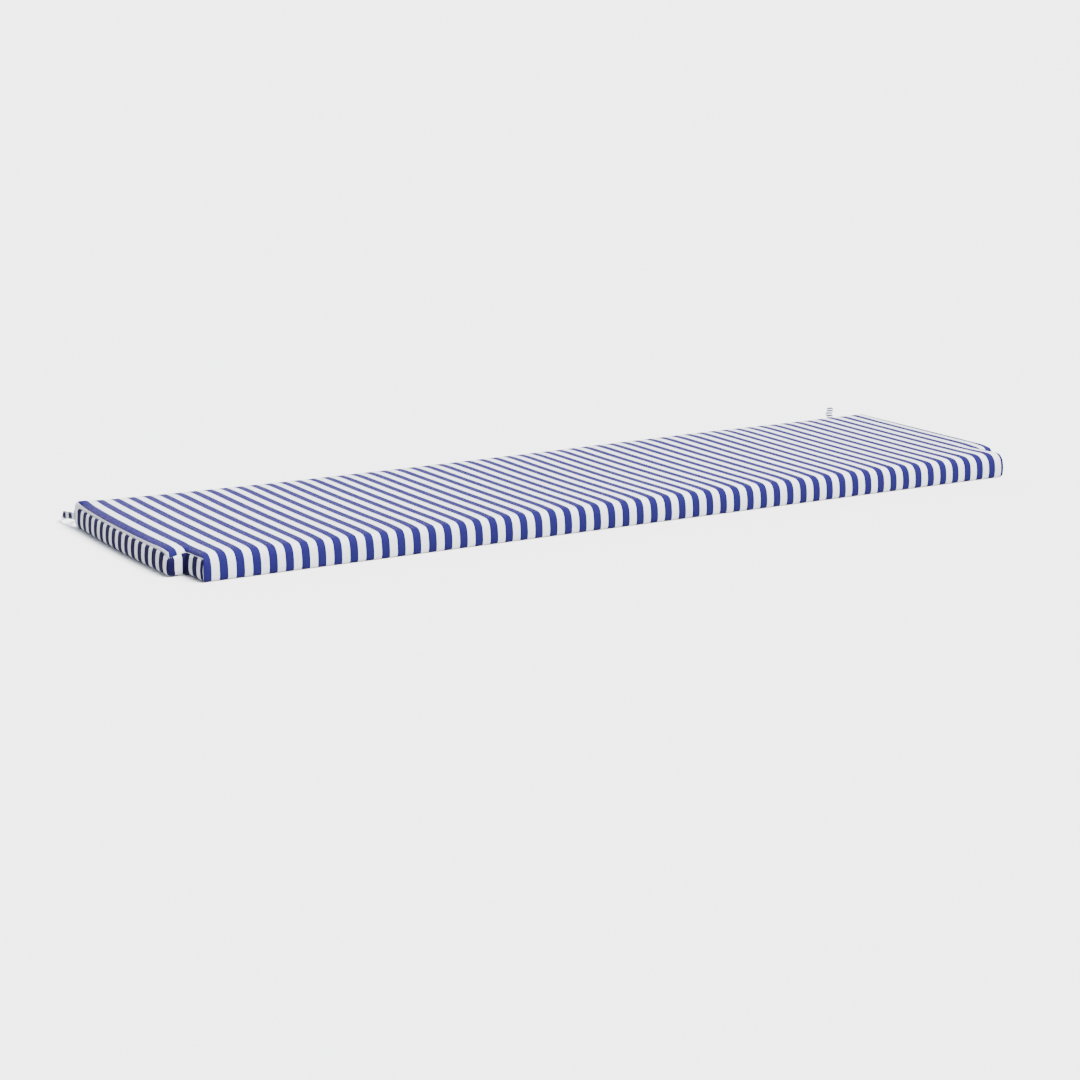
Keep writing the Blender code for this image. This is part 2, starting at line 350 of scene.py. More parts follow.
class GroupMaker(Wiring):
    """Builds one shader group out of named inputs, outputs and maths."""

    def __init__(self, name: str) -> None:
        """Start an empty group.

        Args:
            name: Name of the group.
        """
        super().__init__(bpy.data.node_groups.new(name, "ShaderNodeTree"))
        self.start = self.add("NodeGroupInput")
        self.stop = self.add("NodeGroupOutput")

    def take(self, name: str, kind: Socket = Socket.NUMBER) -> bpy.types.NodeSocket:
        """Add a named input and return its socket inside the group."""
        self.tree.interface.new_socket(name, in_out="INPUT", socket_type=kind.value)
        return self.start.outputs[name]

    def give(self, name: str, source: bpy.types.NodeSocket) -> None:
        """Add a named output that carries the number source."""
        self.tree.interface.new_socket(name, in_out="OUTPUT", socket_type=Socket.NUMBER.value)
        self.fill(self.stop, {name: source})

    def maths(self, operation: str, *values: Feed, clamp: bool = False) -> bpy.types.NodeSocket:
        """One sum on numbers or sockets, kept between 0 and 1 if clamp is set."""
        node = self.add("ShaderNodeMath", dict(enumerate(values)), operation=operation, use_clamp=clamp)
        return node.outputs[0]

    def axes(self, vector: bpy.types.NodeSocket) -> tuple[bpy.types.NodeSocket, ...]:
        """The X, Y and Z of a vector."""
        return tuple(self.add("ShaderNodeSeparateXYZ", {0: vector}).outputs)

    def noise(self, vector: bpy.types.NodeSocket, scale: float, detail: float = 2.0,
              stretch: tuple[float, float, float] = (1.0, 1.0, 1.0)) -> bpy.types.NodeSocket:
        """Noise around 0.5 on a vector.

        Args:
            vector: Coordinates, in metres.
            scale: Blobs to a metre.
            detail: Finer layers on top.
            stretch: Scale along each axis on top of scale.

        Returns:
            The socket of the noise value.
        """
        placed = self.add("ShaderNodeVectorMath", {0: vector, 1: stretch}, operation="MULTIPLY")
        feeds = {"Vector": placed.outputs[0], "Scale": scale, "Detail": detail}
        return self.add("ShaderNodeTexNoise", feeds).outputs["Fac"]

    def round_threads(self, turns: bpy.types.NodeSocket) -> bpy.types.NodeSocket:
        """Rounded height over threads that are numbered by turns."""
        return self.maths("ABSOLUTE", self.maths("SINE", self.maths("MULTIPLY", turns, math.pi)))


def stripe_group() -> bpy.types.ShaderNodeTree:
    """Even stripes across the first axis of the cloth, with slightly uneven woven edges.

    Returns:
        The group, whose output is 1 on the blue stripes.
    """
    drift_weight = 2.0
    maker = GroupMaker("canvas_stripes")
    place = maker.take("Cloth", Socket.VECTOR)
    pitch, first, share, fray, edge = map(maker.take, ("Pitch", "First", "Blue share", "Fray", "Edge"))
    along, _, _ = maker.axes(place)
    wander = maker.maths("SUBTRACT", maker.noise(place, scale=900.0, detail=1.0), 0.5)
    drift = maker.maths("SUBTRACT", maker.noise(place, scale=14.0, detail=1.0), 0.5)
    strayed = maker.maths("ADD", wander, maker.maths("MULTIPLY", drift, drift_weight))
    shift = maker.maths("MULTIPLY", strayed, fray)
    moved = maker.maths("SUBTRACT", maker.maths("ADD", along, shift), first)
    turns = maker.maths("ADD", maker.maths("DIVIDE", moved, pitch), 0.5)
    away = maker.maths("ABSOLUTE", maker.maths("SUBTRACT", maker.maths("FRACT", turns), 0.5))
    inside = maker.maths("SUBTRACT", maker.maths("MULTIPLY", share, 0.5), away)
    soft = maker.maths("DIVIDE", edge, pitch)
    maker.give("Blue", maker.maths("ADD", maker.maths("DIVIDE", inside, soft), 0.5, clamp=True))
    return maker.tree


def weave_group() -> bpy.types.ShaderNodeTree:
    """A plain weave: round threads that pass over and under each other.

    Returns:
        The group, with the height of the threads, which are on top, and the uneven slubs.
    """
    weft_height = 0.85
    slub_height = 0.9
    maker = GroupMaker("canvas_weave")
    place = maker.take("Cloth", Socket.VECTOR)
    thread = maker.take("Thread")
    along, across, _ = maker.axes(place)
    warp = maker.maths("DIVIDE", along, thread)
    weft = maker.maths("DIVIDE", across, thread)
    parity = maker.maths("ADD", maker.maths("FLOOR", warp), maker.maths("FLOOR", weft))
    over = maker.maths("FLOORED_MODULO", parity, 2.0)
    under = maker.maths("SUBTRACT", 1.0, over)
    warp_part = maker.maths("MULTIPLY", maker.round_threads(warp), over)
    weft_part = maker.maths("MULTIPLY", maker.round_threads(weft), under)
    thread_height = maker.maths("ADD", warp_part, maker.maths("MULTIPLY", weft_part, weft_height))
    uneven = maker.maths("SUBTRACT", maker.noise(place, scale=420.0, stretch=(1.0, 0.12, 1.0)), 0.5)
    slub = maker.maths("SUBTRACT", maker.noise(place, scale=300.0, stretch=(0.10, 1.0, 1.0)), 0.5)
    slubs = maker.maths("ADD", uneven, slub)
    maker.give("Height", maker.maths("ADD", thread_height, maker.maths("MULTIPLY", slubs, slub_height)))
    maker.give("Weft", under)
    maker.give("Slub", maker.maths("ADD", slubs, 0.5, clamp=True))
    return maker.tree


def wear_group() -> bpy.types.ShaderNodeTree:
    """Faint clouding and soft crumples of used canvas, on the object's own coordinates.

    Returns:
        The group, with both as numbers around 0.5.
    """
    cloud_share = 0.6
    patch_share = 0.4
    maker = GroupMaker("canvas_wear")
    place = maker.take("Object", Socket.VECTOR)
    cloud = maker.maths("MULTIPLY", maker.noise(place, scale=7.0, detail=3.0), cloud_share)
    patch = maker.maths("MULTIPLY", maker.noise(place, scale=45.0, detail=3.0), patch_share)
    maker.give("Cloud", maker.maths("ADD", cloud, patch))
    maker.give("Crumple", maker.noise(place, scale=26.0, detail=3.0, stretch=(1.0, 0.55, 1.0)))
    return maker.tree


def blank_material(name: str) -> tuple[bpy.types.Material, Wiring, bpy.types.Node]:
    """Start a material.

    Args:
        name: Its name.

    Returns:
        The material, the wiring of its nodes, and its shader.
    """
    material = bpy.data.materials.new(name)
    material.use_nodes = True
    return material, Wiring(material.node_tree), material.node_tree.nodes["Principled BSDF"]


@dataclass(frozen=True)
class CanvasFinish:
    """Woven canvas in blue and white stripes.

    Attributes:
        name: Name of the material.
        white: Linear colour of the undyed threads.
        blue: Linear colour of the dyed threads; on the end panels and ties it is darker, which paints
            their shade.
        pitch: Distance between two stripes, in metres.
        first: Where the middle of one blue stripe lies on the cloth.
        blue_share: Share of the pitch that is blue.
        fray: How far the edges of the stripes wander.
        edge: Width over which blue turns to white.
        thread: Distance between two threads.
        roughness: Roughness of the cloth.
        polish: How much smoother it is where it is worn.
        weave_depth: Relief of the threads, in metres.
        crumple_depth: Relief of the soft crumples, in metres.
        sheen: Weight of the soft sheen that pales the cloth where it is seen at a low angle.
        sheen_roughness: How far that sheen spreads from the low angles.
        sheen_tint: Linear colour of the sheen.
        specular: Strength of its plain reflection.
        white_weft: Brightness of the white threads of the weft beside those of the warp.
        blue_weft: The same of the dyed threads, and what is added to it.
        tones: Darkest and brightest tone of the clouding and of the slubs.
        clouds: Range of the wear's noise that the tones are spread over.
    """

    name: str
    white: Colour = (0.79, 0.81, 0.86)
    blue: Colour = (0.0090, 0.0068, 0.074)
    pitch: float = STRIPE_PITCH
    first: float = -0.7139
    blue_share: float = 0.52
    fray: float = 0.0003
    edge: float = 0.00018
    thread: float = 0.0006
    roughness: float = 0.86
    polish: float = 0.08
    weave_depth: float = 0.00010
    crumple_depth: float = 0.0004
    sheen: float = 0.45
    sheen_roughness: float = 0.2
    sheen_tint: Colour = (0.90, 0.62, 1.0)
    specular: float = 0.10
    white_weft: float = 0.95
    blue_weft: tuple[float, float] = (1.35, 0.001)
    tones: tuple[float, float] = (0.93, 1.05)
    clouds: tuple[float, float] = (0.25, 0.75)

    def build(self, groups: dict[str, bpy.types.ShaderNodeTree]) -> bpy.types.Material:
        """Make the material.

        Args:
            groups: The shader groups by name.

        Returns:
            The finished material.
        """
        material, wiring, shader = blank_material(self.name)
        cloth = wiring.add("ShaderNodeAttribute", attribute_name=CLOTH_MAP).outputs["Vector"]
        place = wiring.add("ShaderNodeTexCoord").outputs["Object"]
        stripes = wiring.add("ShaderNodeGroup", {
            "Cloth": cloth,
            "Pitch": self.pitch,
            "First": self.first,
            "Blue share": self.blue_share,
            "Fray": self.fray,
            "Edge": self.edge,
        }, node_tree=groups["canvas_stripes"])
        threads = {"Cloth": cloth, "Thread": self.thread}
        weave = wiring.add("ShaderNodeGroup", threads, node_tree=groups["canvas_weave"])
        wear = wiring.add("ShaderNodeGroup", {"Object": place}, node_tree=groups["canvas_wear"])

        gain, lift = self.blue_weft
        weft_blue = tuple(part * gain + lift for part in self.blue)
        weft_white = tuple(part * self.white_weft for part in self.white)
        dyed = wiring.mix(weave.outputs["Weft"], self.blue, weft_blue)
        undyed = wiring.mix(weave.outputs["Weft"], self.white, weft_white)
        striped = wiring.mix(stripes.outputs["Blue"], undyed, dyed)
        clouded = wiring.between(wear.outputs["Cloud"], self.tones, self.clouds)
        slubbed = wiring.between(weave.outputs["Slub"], self.tones)
        tone = wiring.add("ShaderNodeMath", {0: clouded, 1: slubbed}, operation="MULTIPLY")
        toned = {0: striped, "Scale": tone.outputs[0]}
        coloured = wiring.add("ShaderNodeVectorMath", toned, operation="SCALE")
        crumpled = {"Height": wear.outputs["Crumple"], "Distance": self.crumple_depth}
        crumple = wiring.add("ShaderNodeBump", crumpled)
        woven = {"Height": weave.outputs["Height"], "Distance": self.weave_depth}
        relief = wiring.add("ShaderNodeBump", {**woven, "Normal": crumple.outputs["Normal"]})
        smooth = self.roughness - self.polish
        wiring.fill(shader, {
            "Base Color": coloured.outputs[0],
            "Roughness": wiring.between(wear.outputs["Cloud"], (self.roughness, smooth)),
            "Normal": relief.outputs["Normal"],
            "Sheen Weight": self.sheen,
            "Sheen Roughness": self.sheen_roughness,
            "Sheen Tint": self.sheen_tint,
            "Specular IOR Level": self.specular,
        })
        return material


@dataclass(frozen=True)
class ThreadFinish:
    """Twisted sewing thread.

    Attributes:
        name: Name of the material.
        colour: Linear colour.
        hollow_shade: How dark the painted shade in the hollows of the twist is beside the rest.
        twist_scale: Turns of the twist to a metre.
        twist_depth: Relief of the twist, in metres.
        roughness: Roughness of the thread.
        sheen: Weight of its sheen.
    """

    name: str
    colour: Colour
    hollow_shade: float = 0.72
    twist_scale: float = 1800.0
    twist_depth: float = 0.00006
    roughness: float = 0.62
    sheen: float = 0.2

    def build(self) -> bpy.types.Material:
        """Make the material.

        Returns:
            The finished material, with a fine twist along the thread and painted shade in its hollows.
        """
        material, wiring, shader = blank_material(self.name)
        place = wiring.add("ShaderNodeTexCoord").outputs["Object"]
        noise = wiring.add("ShaderNodeTexNoise", {"Vector": place, "Scale": self.twist_scale})
        twist = noise.outputs["Fac"]
        # The hollows of the twist's bump are painted darker: painted shade.
        shaded_colour = tuple(part * self.hollow_shade for part in self.colour)
        relief = wiring.add("ShaderNodeBump", {"Height": twist, "Distance": self.twist_depth})
        wiring.fill(shader, {
            "Base Color": wiring.mix(twist, shaded_colour, self.colour),
            "Normal": relief.outputs["Normal"],
            "Roughness": self.roughness,
            "Sheen Weight": self.sheen,
        })
        return material


# ---------------------------------------------------------------------------------------------
# The form of the filled cushion
# ---------------------------------------------------------------------------------------------

class Corner(IntEnum):
    """Corners of the outline in the order in which it runs round, counter-clockwise."""

    FLAP_LEFT = 0
    FLAP_RIGHT = 1
    HOLLOW_RIGHT = 2
    SHOULDER_RIGHT = 3
    REAR_RIGHT = 4
    REAR_LEFT = 5
    SHOULDER_LEFT = 6
    HOLLOW_LEFT = 7


class Side(IntEnum):
    """The two ends of the cushion."""

    LEFT = -1
    RIGHT = 1

    @property
    def word(self) -> str:
        """The side in a piece's name."""
        return self.name.lower()


@dataclass(frozen=True)
class CushionForm:
    """Sizes of the filled cushion, in metres, and the settled shape that follows from them.

    Attributes:
        half_length: Half the length over both end panels.
        half_depth: Half the depth.
        notch_width: Width of the notches at the front corners.
        notch_depth: Their depth.
        outer_corner: Radius of the outer corners in plan.
        inner_corner: Radius of the notches' inner corners.
        tightest_corner: Smallest radius that an outer corner keeps.
        widest_hollow: Largest radius that an inner corner reaches.
        crown: Height of the crown over the middle.
        crown_power: How evenly the crown runs along the length before it falls to the ends.
        left_bow: How far the left end bows out.
        right_bow: How far the right end bows out.
        side_pull: How far the front and rear draw in between the corners.
        edge_rows: Height, inset of the end walls, and inset of the front and rear walls.
        seam_row: Row of the upper seam.
        low_seam_row: Row of the lower seam.
        top_waves: Along, rise at the rear, and rise at the front.
        flap_corner: Radius of the front flap's outer corners in plan.
        ear_push: How far the filling pushes the rear left corner outwards near its top.
        ear_low_share: Share of that push that is left at its foot.
        ear_reach: How far from the corner the push fades.
        ear_foot: Height below which only that share is left.
        ear_head: Height from which the whole push acts.
        ear_lift: How much higher the top stands at that corner.
        ear_lift_reach: How far from the corner the lift fades.
        shelf_drop: How much lower the top lies along its left edge.
        shelf: Where that shelf begins to rise to the top's level, and where it has reached it.
        shoulder_dip: How far the upper seam droops at the shoulders behind the notches.
        shoulder_top_share: Share of that dip that reaches the top.
        shoulder_reach: How far from the shoulder the dip fades.
    """

    half_length: float = 0.748
    half_depth: float = 0.2165
    notch_width: float = 0.0275
    notch_depth: float = 0.0545
    outer_corner: float = 0.0040
    inner_corner: float = 0.0016
    tightest_corner: float = 0.0006
    widest_hollow: float = 0.010
    crown: float = 0.0008
    crown_power: int = 6
    left_bow: float = 0.0055
    right_bow: float = 0.0012
    side_pull: float = 0.0012
    edge_rows: tuple[tuple[float, float, float], ...] = (
        (0.0000, 0.0072, 0.0072),
        (0.0006, 0.0044, 0.0036),
        (0.0022, 0.0024, 0.0014),
        (0.0055, 0.0009, 0.0004),
        (0.0110, 0.0001, 0.0000),
        (0.0170, 0.0000, 0.0000),
        (0.0230, 0.0005, 0.0002),
        (0.0285, 0.0013, 0.0009),
        (0.0328, 0.0024, 0.0026),
        (0.0358, 0.0034, 0.0049),
        (0.0379, 0.0050, 0.0078),
        (0.0391, 0.0078, 0.0116),
        (0.0396, 0.0130, 0.0170),
    )
    low_seam_row: int = 2
    seam_row: int = 8
    top_waves: tuple[tuple[float, float, float], ...] = (
        (-0.755, 0.0044, 0.0008),
        (-0.690, 0.0024, 0.0006),
        (-0.560, 0.0006, 0.0000),
        (-0.370, -0.0012, -0.0004),
        (-0.180, -0.0014, 0.0004),
        (0.040, -0.0006, 0.0002),
        (0.220, 0.0008, 0.0000),
        (0.400, 0.0022, 0.0004),
        (0.580, 0.0014, 0.0002),
        (0.755, 0.0014, 0.0016),
    )
    flap_corner: float = 0.0018
    ear_push: float = 0.0040
    ear_low_share: float = 0.30
    ear_reach: float = 0.024
    ear_foot: float = 0.020
    ear_head: float = 0.036
    ear_lift: float = 0.0030
    ear_lift_reach: float = 0.062
    shelf_drop: float = 0.0010
    shelf: tuple[float, float] = (-0.727, -0.703)
    shoulder_dip: float = 0.0055
    shoulder_top_share: float = 0.55
    shoulder_reach: float = 0.030

    @property
    def top_height(self) -> float:
        """Height of the top's edge."""
        return self.edge_rows[-1][0]

    @property
    def seam_height(self) -> float:
        """Height of the upper seam."""
        return self.edge_rows[self.seam_row][0]

    def corners(self) -> list[tuple[Array, bool]]:
        """Corners of the outline in plan.

        Returns:
            The place of each corner, and whether it is hollow.
        """
        end = self.half_length
        flap = end - self.notch_width
        front = -self.half_depth
        back = front + self.notch_depth
        rear = self.half_depth
        right = ((flap, front), (flap, back), (end, back), (end, rear))
        left = tuple((-x, y) for x, y in reversed(right))
        hollows = (Corner.HOLLOW_RIGHT, Corner.HOLLOW_LEFT)
        places = (left[-1], *right, *left[:-1])
        return [(np.array(place), corner in hollows) for corner, place in enumerate(places)]

    def section(self, row: float) -> tuple[float, float, float]:
        """Cross-section of the edge at a row.

        Args:
            row: Row of the table, or a place between two rows.

        Returns:
            Height, end inset and front inset.
        """
        rows = np.array(self.edge_rows)
        low = min(int(row), len(rows) - 2)
        share = row - low
        start, stop = rows[low], rows[low + 1]
        before = rows[low - 1] if low > 0 else start * 2 - stop
        after = rows[low + 2] if low + 2 < len(rows) else stop * 2 - start
        return tuple(spline(before, start, stop, after, share))

    def rise(self, x: Array, y: Array) -> Array:
        """How much higher than its edge the slack cloth of the top stands.

        Args:
            x: Places along the cushion.
            y: Places across it.

        Returns:
            The rise at each place.
        """
        along, rear, front = np.array(self.top_waves).T
        share = np.clip((y + self.half_depth) / (2 * self.half_depth), 0.0, 1.0)
        index = np.clip(np.searchsorted(along, x) - 1, 0, len(along) - 2)
        step = ease((x - along[index]) / (along[index + 1] - along[index]))
        at_rear = rear[index] + (rear[index + 1] - rear[index]) * step
        at_front = front[index] + (front[index + 1] - front[index]) * step
        return at_front + (at_rear - at_front) * share

    def settled(self, points: Array) -> Array:
        """Raise the crown and the waves, bow the ends out and draw the sides in.

        Args:
            points: Places on the plain form, one row each.

        Returns:
            The same places on the settled form.
        """
        x, y, z = points.T
        along = x / self.half_length
        across = y / self.half_depth
        lift = np.clip((z - self.seam_height) / (self.top_height - self.seam_height), 0.0, None)
        crown = self.crown * (1 - along ** self.crown_power) * (1 - across ** 2)
        bow = np.where(x > 0, self.right_bow, self.left_bow)
        start, stop = self.shelf
        shelf = self.shelf_drop * (1 - ease((x - start) / (stop - start)))
        rise = crown + self.rise(x, y) - shelf + self.ear_lift * self.near_ear(x, y, self.ear_lift_reach)
        return np.stack((
            x + along * bow * (1 - across ** 2) - self.pushed(points),
            y - across * self.side_pull * (1 - along ** 2),
            z + lift * rise - self.dipped(points),
        ), axis=1)

    def near_ear(self, x: Array, y: Array, reach: float) -> Array:
        """How near places are to the rear left corner.

        Args:
            x: Places along the cushion.
            y: Places across it.
            reach: Distance along either side at which nearness ends.

        Returns:
            1 at the corner, fading to 0 at that distance.
        """
        from_end = x + self.half_length
        from_rear = self.half_depth - y
        return (1 - ease(from_end / reach)) * (1 - ease(from_rear / reach))

    def pushed(self, points: Array) -> Array:
        """How far the filling pushes places near the rear left corner outwards.

        Args:
            points: Places on the plain form, one row each.

        Returns:
            The push to the left, in metres.
        """
        x, y, z = points.T
        high = ease((z - self.ear_foot) / (self.ear_head - self.ear_foot))
        share = self.ear_low_share + (1 - self.ear_low_share) * high
        return self.ear_push * self.near_ear(x, y, self.ear_reach) * share

    def dipped(self, points: Array) -> Array:
        """How far the slack corner of each shoulder droops.

        Args:
            points: Places on the plain form, one row each.

        Returns:
            The dip, in metres.
        """
        x, y, z = points.T
        from_end = self.half_length - np.abs(x)
        from_corner = np.abs(y + self.half_depth - self.notch_depth)
        near = (1 - ease(from_end / self.shoulder_reach)) * (1 - ease(from_corner / self.shoulder_reach))
        above = ease((z - self.seam_height) / (self.top_height - self.seam_height))
        share = ease(z / self.seam_height) * (1 - (1 - self.shoulder_top_share) * above)
        return self.shoulder_dip * near * share


@dataclass(frozen=True)
class StripeDrift:
    """How far the stripes of the slack cover stray from their even places.

    Attributes:
        lines: Where the columns of the table lie across the cushion.
        front_fade: How far behind the front the stripes take up the top's drift.
        table: Along, then the drift to the right at the front and on the three lines.
    """

    lines: tuple[float, float, float] = (-0.18, 0.02, 0.18)
    front_fade: float = 0.020
    table: tuple[tuple[float, float, float, float, float], ...] = (
        (-0.740, 0.0007, 0.0025, 0.0000, 0.0000),
        (-0.722, 0.0007, 0.0003, 0.0003, 0.0001),
        (-0.660, 0.0007, 0.0000, 0.0012, 0.0005),
        (-0.510, 0.0000, 0.0003, 0.0003, 0.0014),
        (-0.410, 0.0002, 0.0010, -0.0006, 0.0008),
        (-0.280, 0.0015, -0.0012, -0.0019, -0.0015),
        (-0.150, 0.0019, 0.0004, -0.0008, 0.0006),
        (-0.020, 0.0024, -0.0005, -0.0048, -0.0005),
        (0.130, 0.0026, -0.0012, -0.0078, -0.0053),
        (0.260, 0.0021, -0.0022, -0.0066, -0.0045),
        (0.390, 0.0019, -0.0024, -0.0054, -0.0013),
        (0.515, 0.0015, -0.0050, -0.0078, -0.0027),
        (0.600, 0.0010, -0.0058, -0.0075, -0.0031),
        (0.665, 0.0010, -0.0070, -0.0088, -0.0040),
        (0.740, 0.0010, -0.0098, -0.0108, -0.0065),
    )

    def at(self, x: Array, y: Array, half_depth: float) -> Array:
        """Drift at places on the plain form.

        Args:
            x: Places along the cushion.
            y: Places across it.
            half_depth: Half the cushion's depth.

        Returns:
            The drift to the right, in metres.
        """
        along, *columns = np.array(self.table).T
        front, near, middle, rear = (np.interp(x, along, column) for column in columns)

        def bend(place: Array | float) -> Array:
            """Smooth curve through the three lines.

            Args:
                place: Places across the cushion.

            Returns:
                The drift at each place.
            """
            a, b, c = self.lines
            return (near * (place - b) * (place - c) / ((a - b) * (a - c))
                    + middle * (place - a) * (place - c) / ((b - a) * (b - c))
                    + rear * (place - a) * (place - b) / ((c - a) * (c - b)))

        behind = np.maximum(y + half_depth, 0.0)
        return bend(y) + (front - bend(-half_depth)) * np.exp(-behind / self.front_fade)


class Skin:
    """The cushion's whole outer surface: rows of columns round it, and grids on top and below.

    Attributes:
        arc_steps: Steps of each rounded corner.
        sharp_inset: How far inside the top's edge its grid begins, with sharp corners.
        low_sharp_inset: The same on the underside.
        foot_rows: Rows at the foot of the walls.
        steps_between: Rows from each row of the form's table to the next, above the lower seam.
        beside_low_seam: Further rows, counted from the lower seam.
        beside_seam: Further rows, counted from the upper seam.
        soft_rows: How many rows below the top's edge are softened.
        softening: Share of the way to the neighbours' height in one pass.
    """

    arc_steps: int = 6
    sharp_inset: float = 0.005
    low_sharp_inset: float = 0.006
    foot_rows: tuple[float, ...] = (0.0, 0.5, 1.0, 1.5)
    steps_between: int = 3
    beside_low_seam: tuple[float, ...] = (-0.2, 0.15)
    beside_seam: tuple[float, ...] = (-0.22, -0.11, 0.15)
    soft_rows: float = 1.4
    softening: float = 0.5

    def __init__(self, form: CushionForm) -> None:
        """Lay out the columns and rows and work out every place.

        Args:
            form: The cushion's sizes.
        """
        self.form = form
        self.x_lines, self.y_lines = self.grid_lines()
        self.shares = self.wall_shares()
        self.rows = self.row_list()
        self.first_column = self.column_starts()
        self.plain, self.facing, self.ids = self.all_rows()
        self.top_ids, top_points = self.grid(-1, len(self.plain))
        self.low_ids, low_points = self.grid(0, len(self.plain) + len(top_points))
        self.plain = np.concatenate((self.plain, top_points, low_points))
        self.faces = self.all_faces()
        self.points = self.form.settled(self.plain)
        self.level_out()
        self.cloth = self.cloth_places()

    def grid_lines(self) -> tuple[Array, Array]:
        """Lay out the grid lines of the top.

        Returns:
            Their places along X from the left, and along Y from the front.
        """
        _, end_inset, front_inset = self.form.edge_rows[-1]
        end = self.form.half_length - end_inset - self.sharp_inset
        flap = end - self.form.notch_width
        front = -self.form.half_depth + front_inset + self.sharp_inset
        back = front + self.form.notch_depth
        rear = self.form.half_depth - front_inset - self.sharp_inset
        middle = graded(2 * flap, first=0.0030, last=0.0030, widest=0.0080, growth=0.06) - flap
        beside = graded(end - flap, first=0.0032, last=0.0032, widest=0.0036) + flap
        x_lines = np.concatenate((-beside[::-1][:-1], middle, beside[1:]))
        notch = graded(back - front, first=0.0010, last=0.0032, widest=0.0045, growth=0.4) + front
        wall = graded(rear - back, first=0.0026, last=0.0010, widest=0.0060, growth=0.12) + back
        y_lines = np.concatenate((notch, wall[1:]))
        self.left_flap = len(beside) - 1
        self.right_flap = self.left_flap + len(middle) - 1
        self.notch_line = len(notch) - 1
        return x_lines, y_lines

    def wall_shares(self) -> list[Array]:
        """Set out the columns of the walls so that they meet the grid lines.

        Returns:
            For each wall after its corner, the shares of its length at which a column stands.
        """
        x, y = self.x_lines, self.y_lines
        left, right, notch = self.left_flap, self.right_flap, self.notch_line
        stretches = (
            x[left:right + 1],
            y[:notch + 1],
            x[right:],
            y[notch:],
            x[::-1],
            y[notch:][::-1],
            x[:left + 1],
            y[:notch + 1][::-1],
        )
        return [((s - s[0]) / (s[-1] - s[0]))[1:-1] for s in stretches]

    def row_list(self) -> list[float]:
        """Set out the rows of the walls.

        Returns:
            The rows, closer together near the two seams.
        """
        low, high = self.form.low_seam_row, self.form.seam_row
        steps = self.steps_between * (len(self.form.edge_rows) - 1 - low)
        rows = set(self.foot_rows)
        rows.update(round(low + step / self.steps_between, 4) for step in range(steps + 1))
        rows.update(low + shift for shift in self.beside_low_seam)
        rows.update(high + shift for shift in self.beside_seam)
        return sorted(rows)

    def column_starts(self) -> list[int]:
        """Number the columns.

        Returns:
            The first column of each corner.
        """
        starts, place = [], 0
        for share in self.shares:
            starts.append(place)
            place += self.arc_steps + 1 + len(share)
        self.column_count = place
        return starts

    def outline(self, end_inset: float, front_inset: float, sharp: bool) -> tuple[Array, Array]:
        """One closed row in plan.

        Args:
            end_inset: How far the walls that face along X are moved in.
            front_inset: How far the front and rear walls are moved in.
            sharp: Whether every corner is drawn to one point.

        Returns:
            Places and outward directions, one for each column.
        """
        corners = self.form.corners()
        smaller = min(end_inset, front_inset)
        angles = np.linspace(0, math.pi / 2, self.arc_steps + 1)[:, None]
        arcs, turns, walls = [], [], []
        for index, (place, hollow) in enumerate(corners):
            heading_in = unit(place - corners[index - 1][0])
            heading_out = unit(corners[(index + 1) % len(corners)][0] - place)
            inward = np.array((-heading_in[1] - heading_out[1], heading_in[0] + heading_out[0]))
            if sharp:
                radius = 0.0
            elif hollow:
                radius = min(self.form.inner_corner + smaller, self.form.widest_hollow)
            else:
                flap = index in (Corner.FLAP_LEFT, Corner.FLAP_RIGHT)
                widest = self.form.flap_corner if flap else self.form.outer_corner
                radius = max(widest - smaller, self.form.tightest_corner)
            corner = place + inward * (end_inset, front_inset)
            centre = corner + (heading_out - heading_in) * radius
            reach = heading_in * np.sin(angles) - heading_out * np.cos(angles)
            arcs.append(centre + reach * radius)
            turns.append(-reach if hollow else reach)
            walls.append(np.array((heading_out[1], -heading_out[0])))
        places, facing = [], []
        for index, share in enumerate(self.shares):
            start, stop = arcs[index][-1], arcs[(index + 1) % len(arcs)][0]
            places += [arcs[index], start + (stop - start) * share[:, None]]
            facing += [turns[index], np.tile(walls[index], (len(share), 1))]
        return np.concatenate(places), np.concatenate(facing)

    def all_rows(self) -> tuple[Array, Array, Array]:
        """Work out the rows of the walls.

        Returns:
            The places of all rows, the outward direction of each column, and the rows' indices.
        """
        form = self.form
        low_height, low_end, low_front = form.edge_rows[0]
        top_height, top_end, top_front = form.edge_rows[-1]
        low = self.low_sharp_inset
        top = self.sharp_inset
        sections = [(low_height, low_end + low, low_front + low, True)]
        sections += [(*form.section(row), False) for row in self.rows]
        sections.append((top_height, top_end + top, top_front + top, True))
        points = []
        for height, end_inset, front_inset, sharp in sections:
            places, facing = self.outline(end_inset, front_inset, sharp)
            points.append(np.column_stack((places, np.full(len(places), height))))
        ids = np.arange(len(sections) * self.column_count).reshape(len(sections), -1)
        for row in (0, -1):
            for start in self.first_column:
                ids[row, start:start + self.arc_steps + 1] = ids[row, start]
        return np.concatenate(points), facing, ids

    def wall_columns(self, corner: int) -> Array:
        """Columns from the end of one corner's arc to the start of the next one's."""
        start = self.first_column[corner] + self.arc_steps
        return (start + np.arange(len(self.shares[corner]) + 2)) % self.column_count

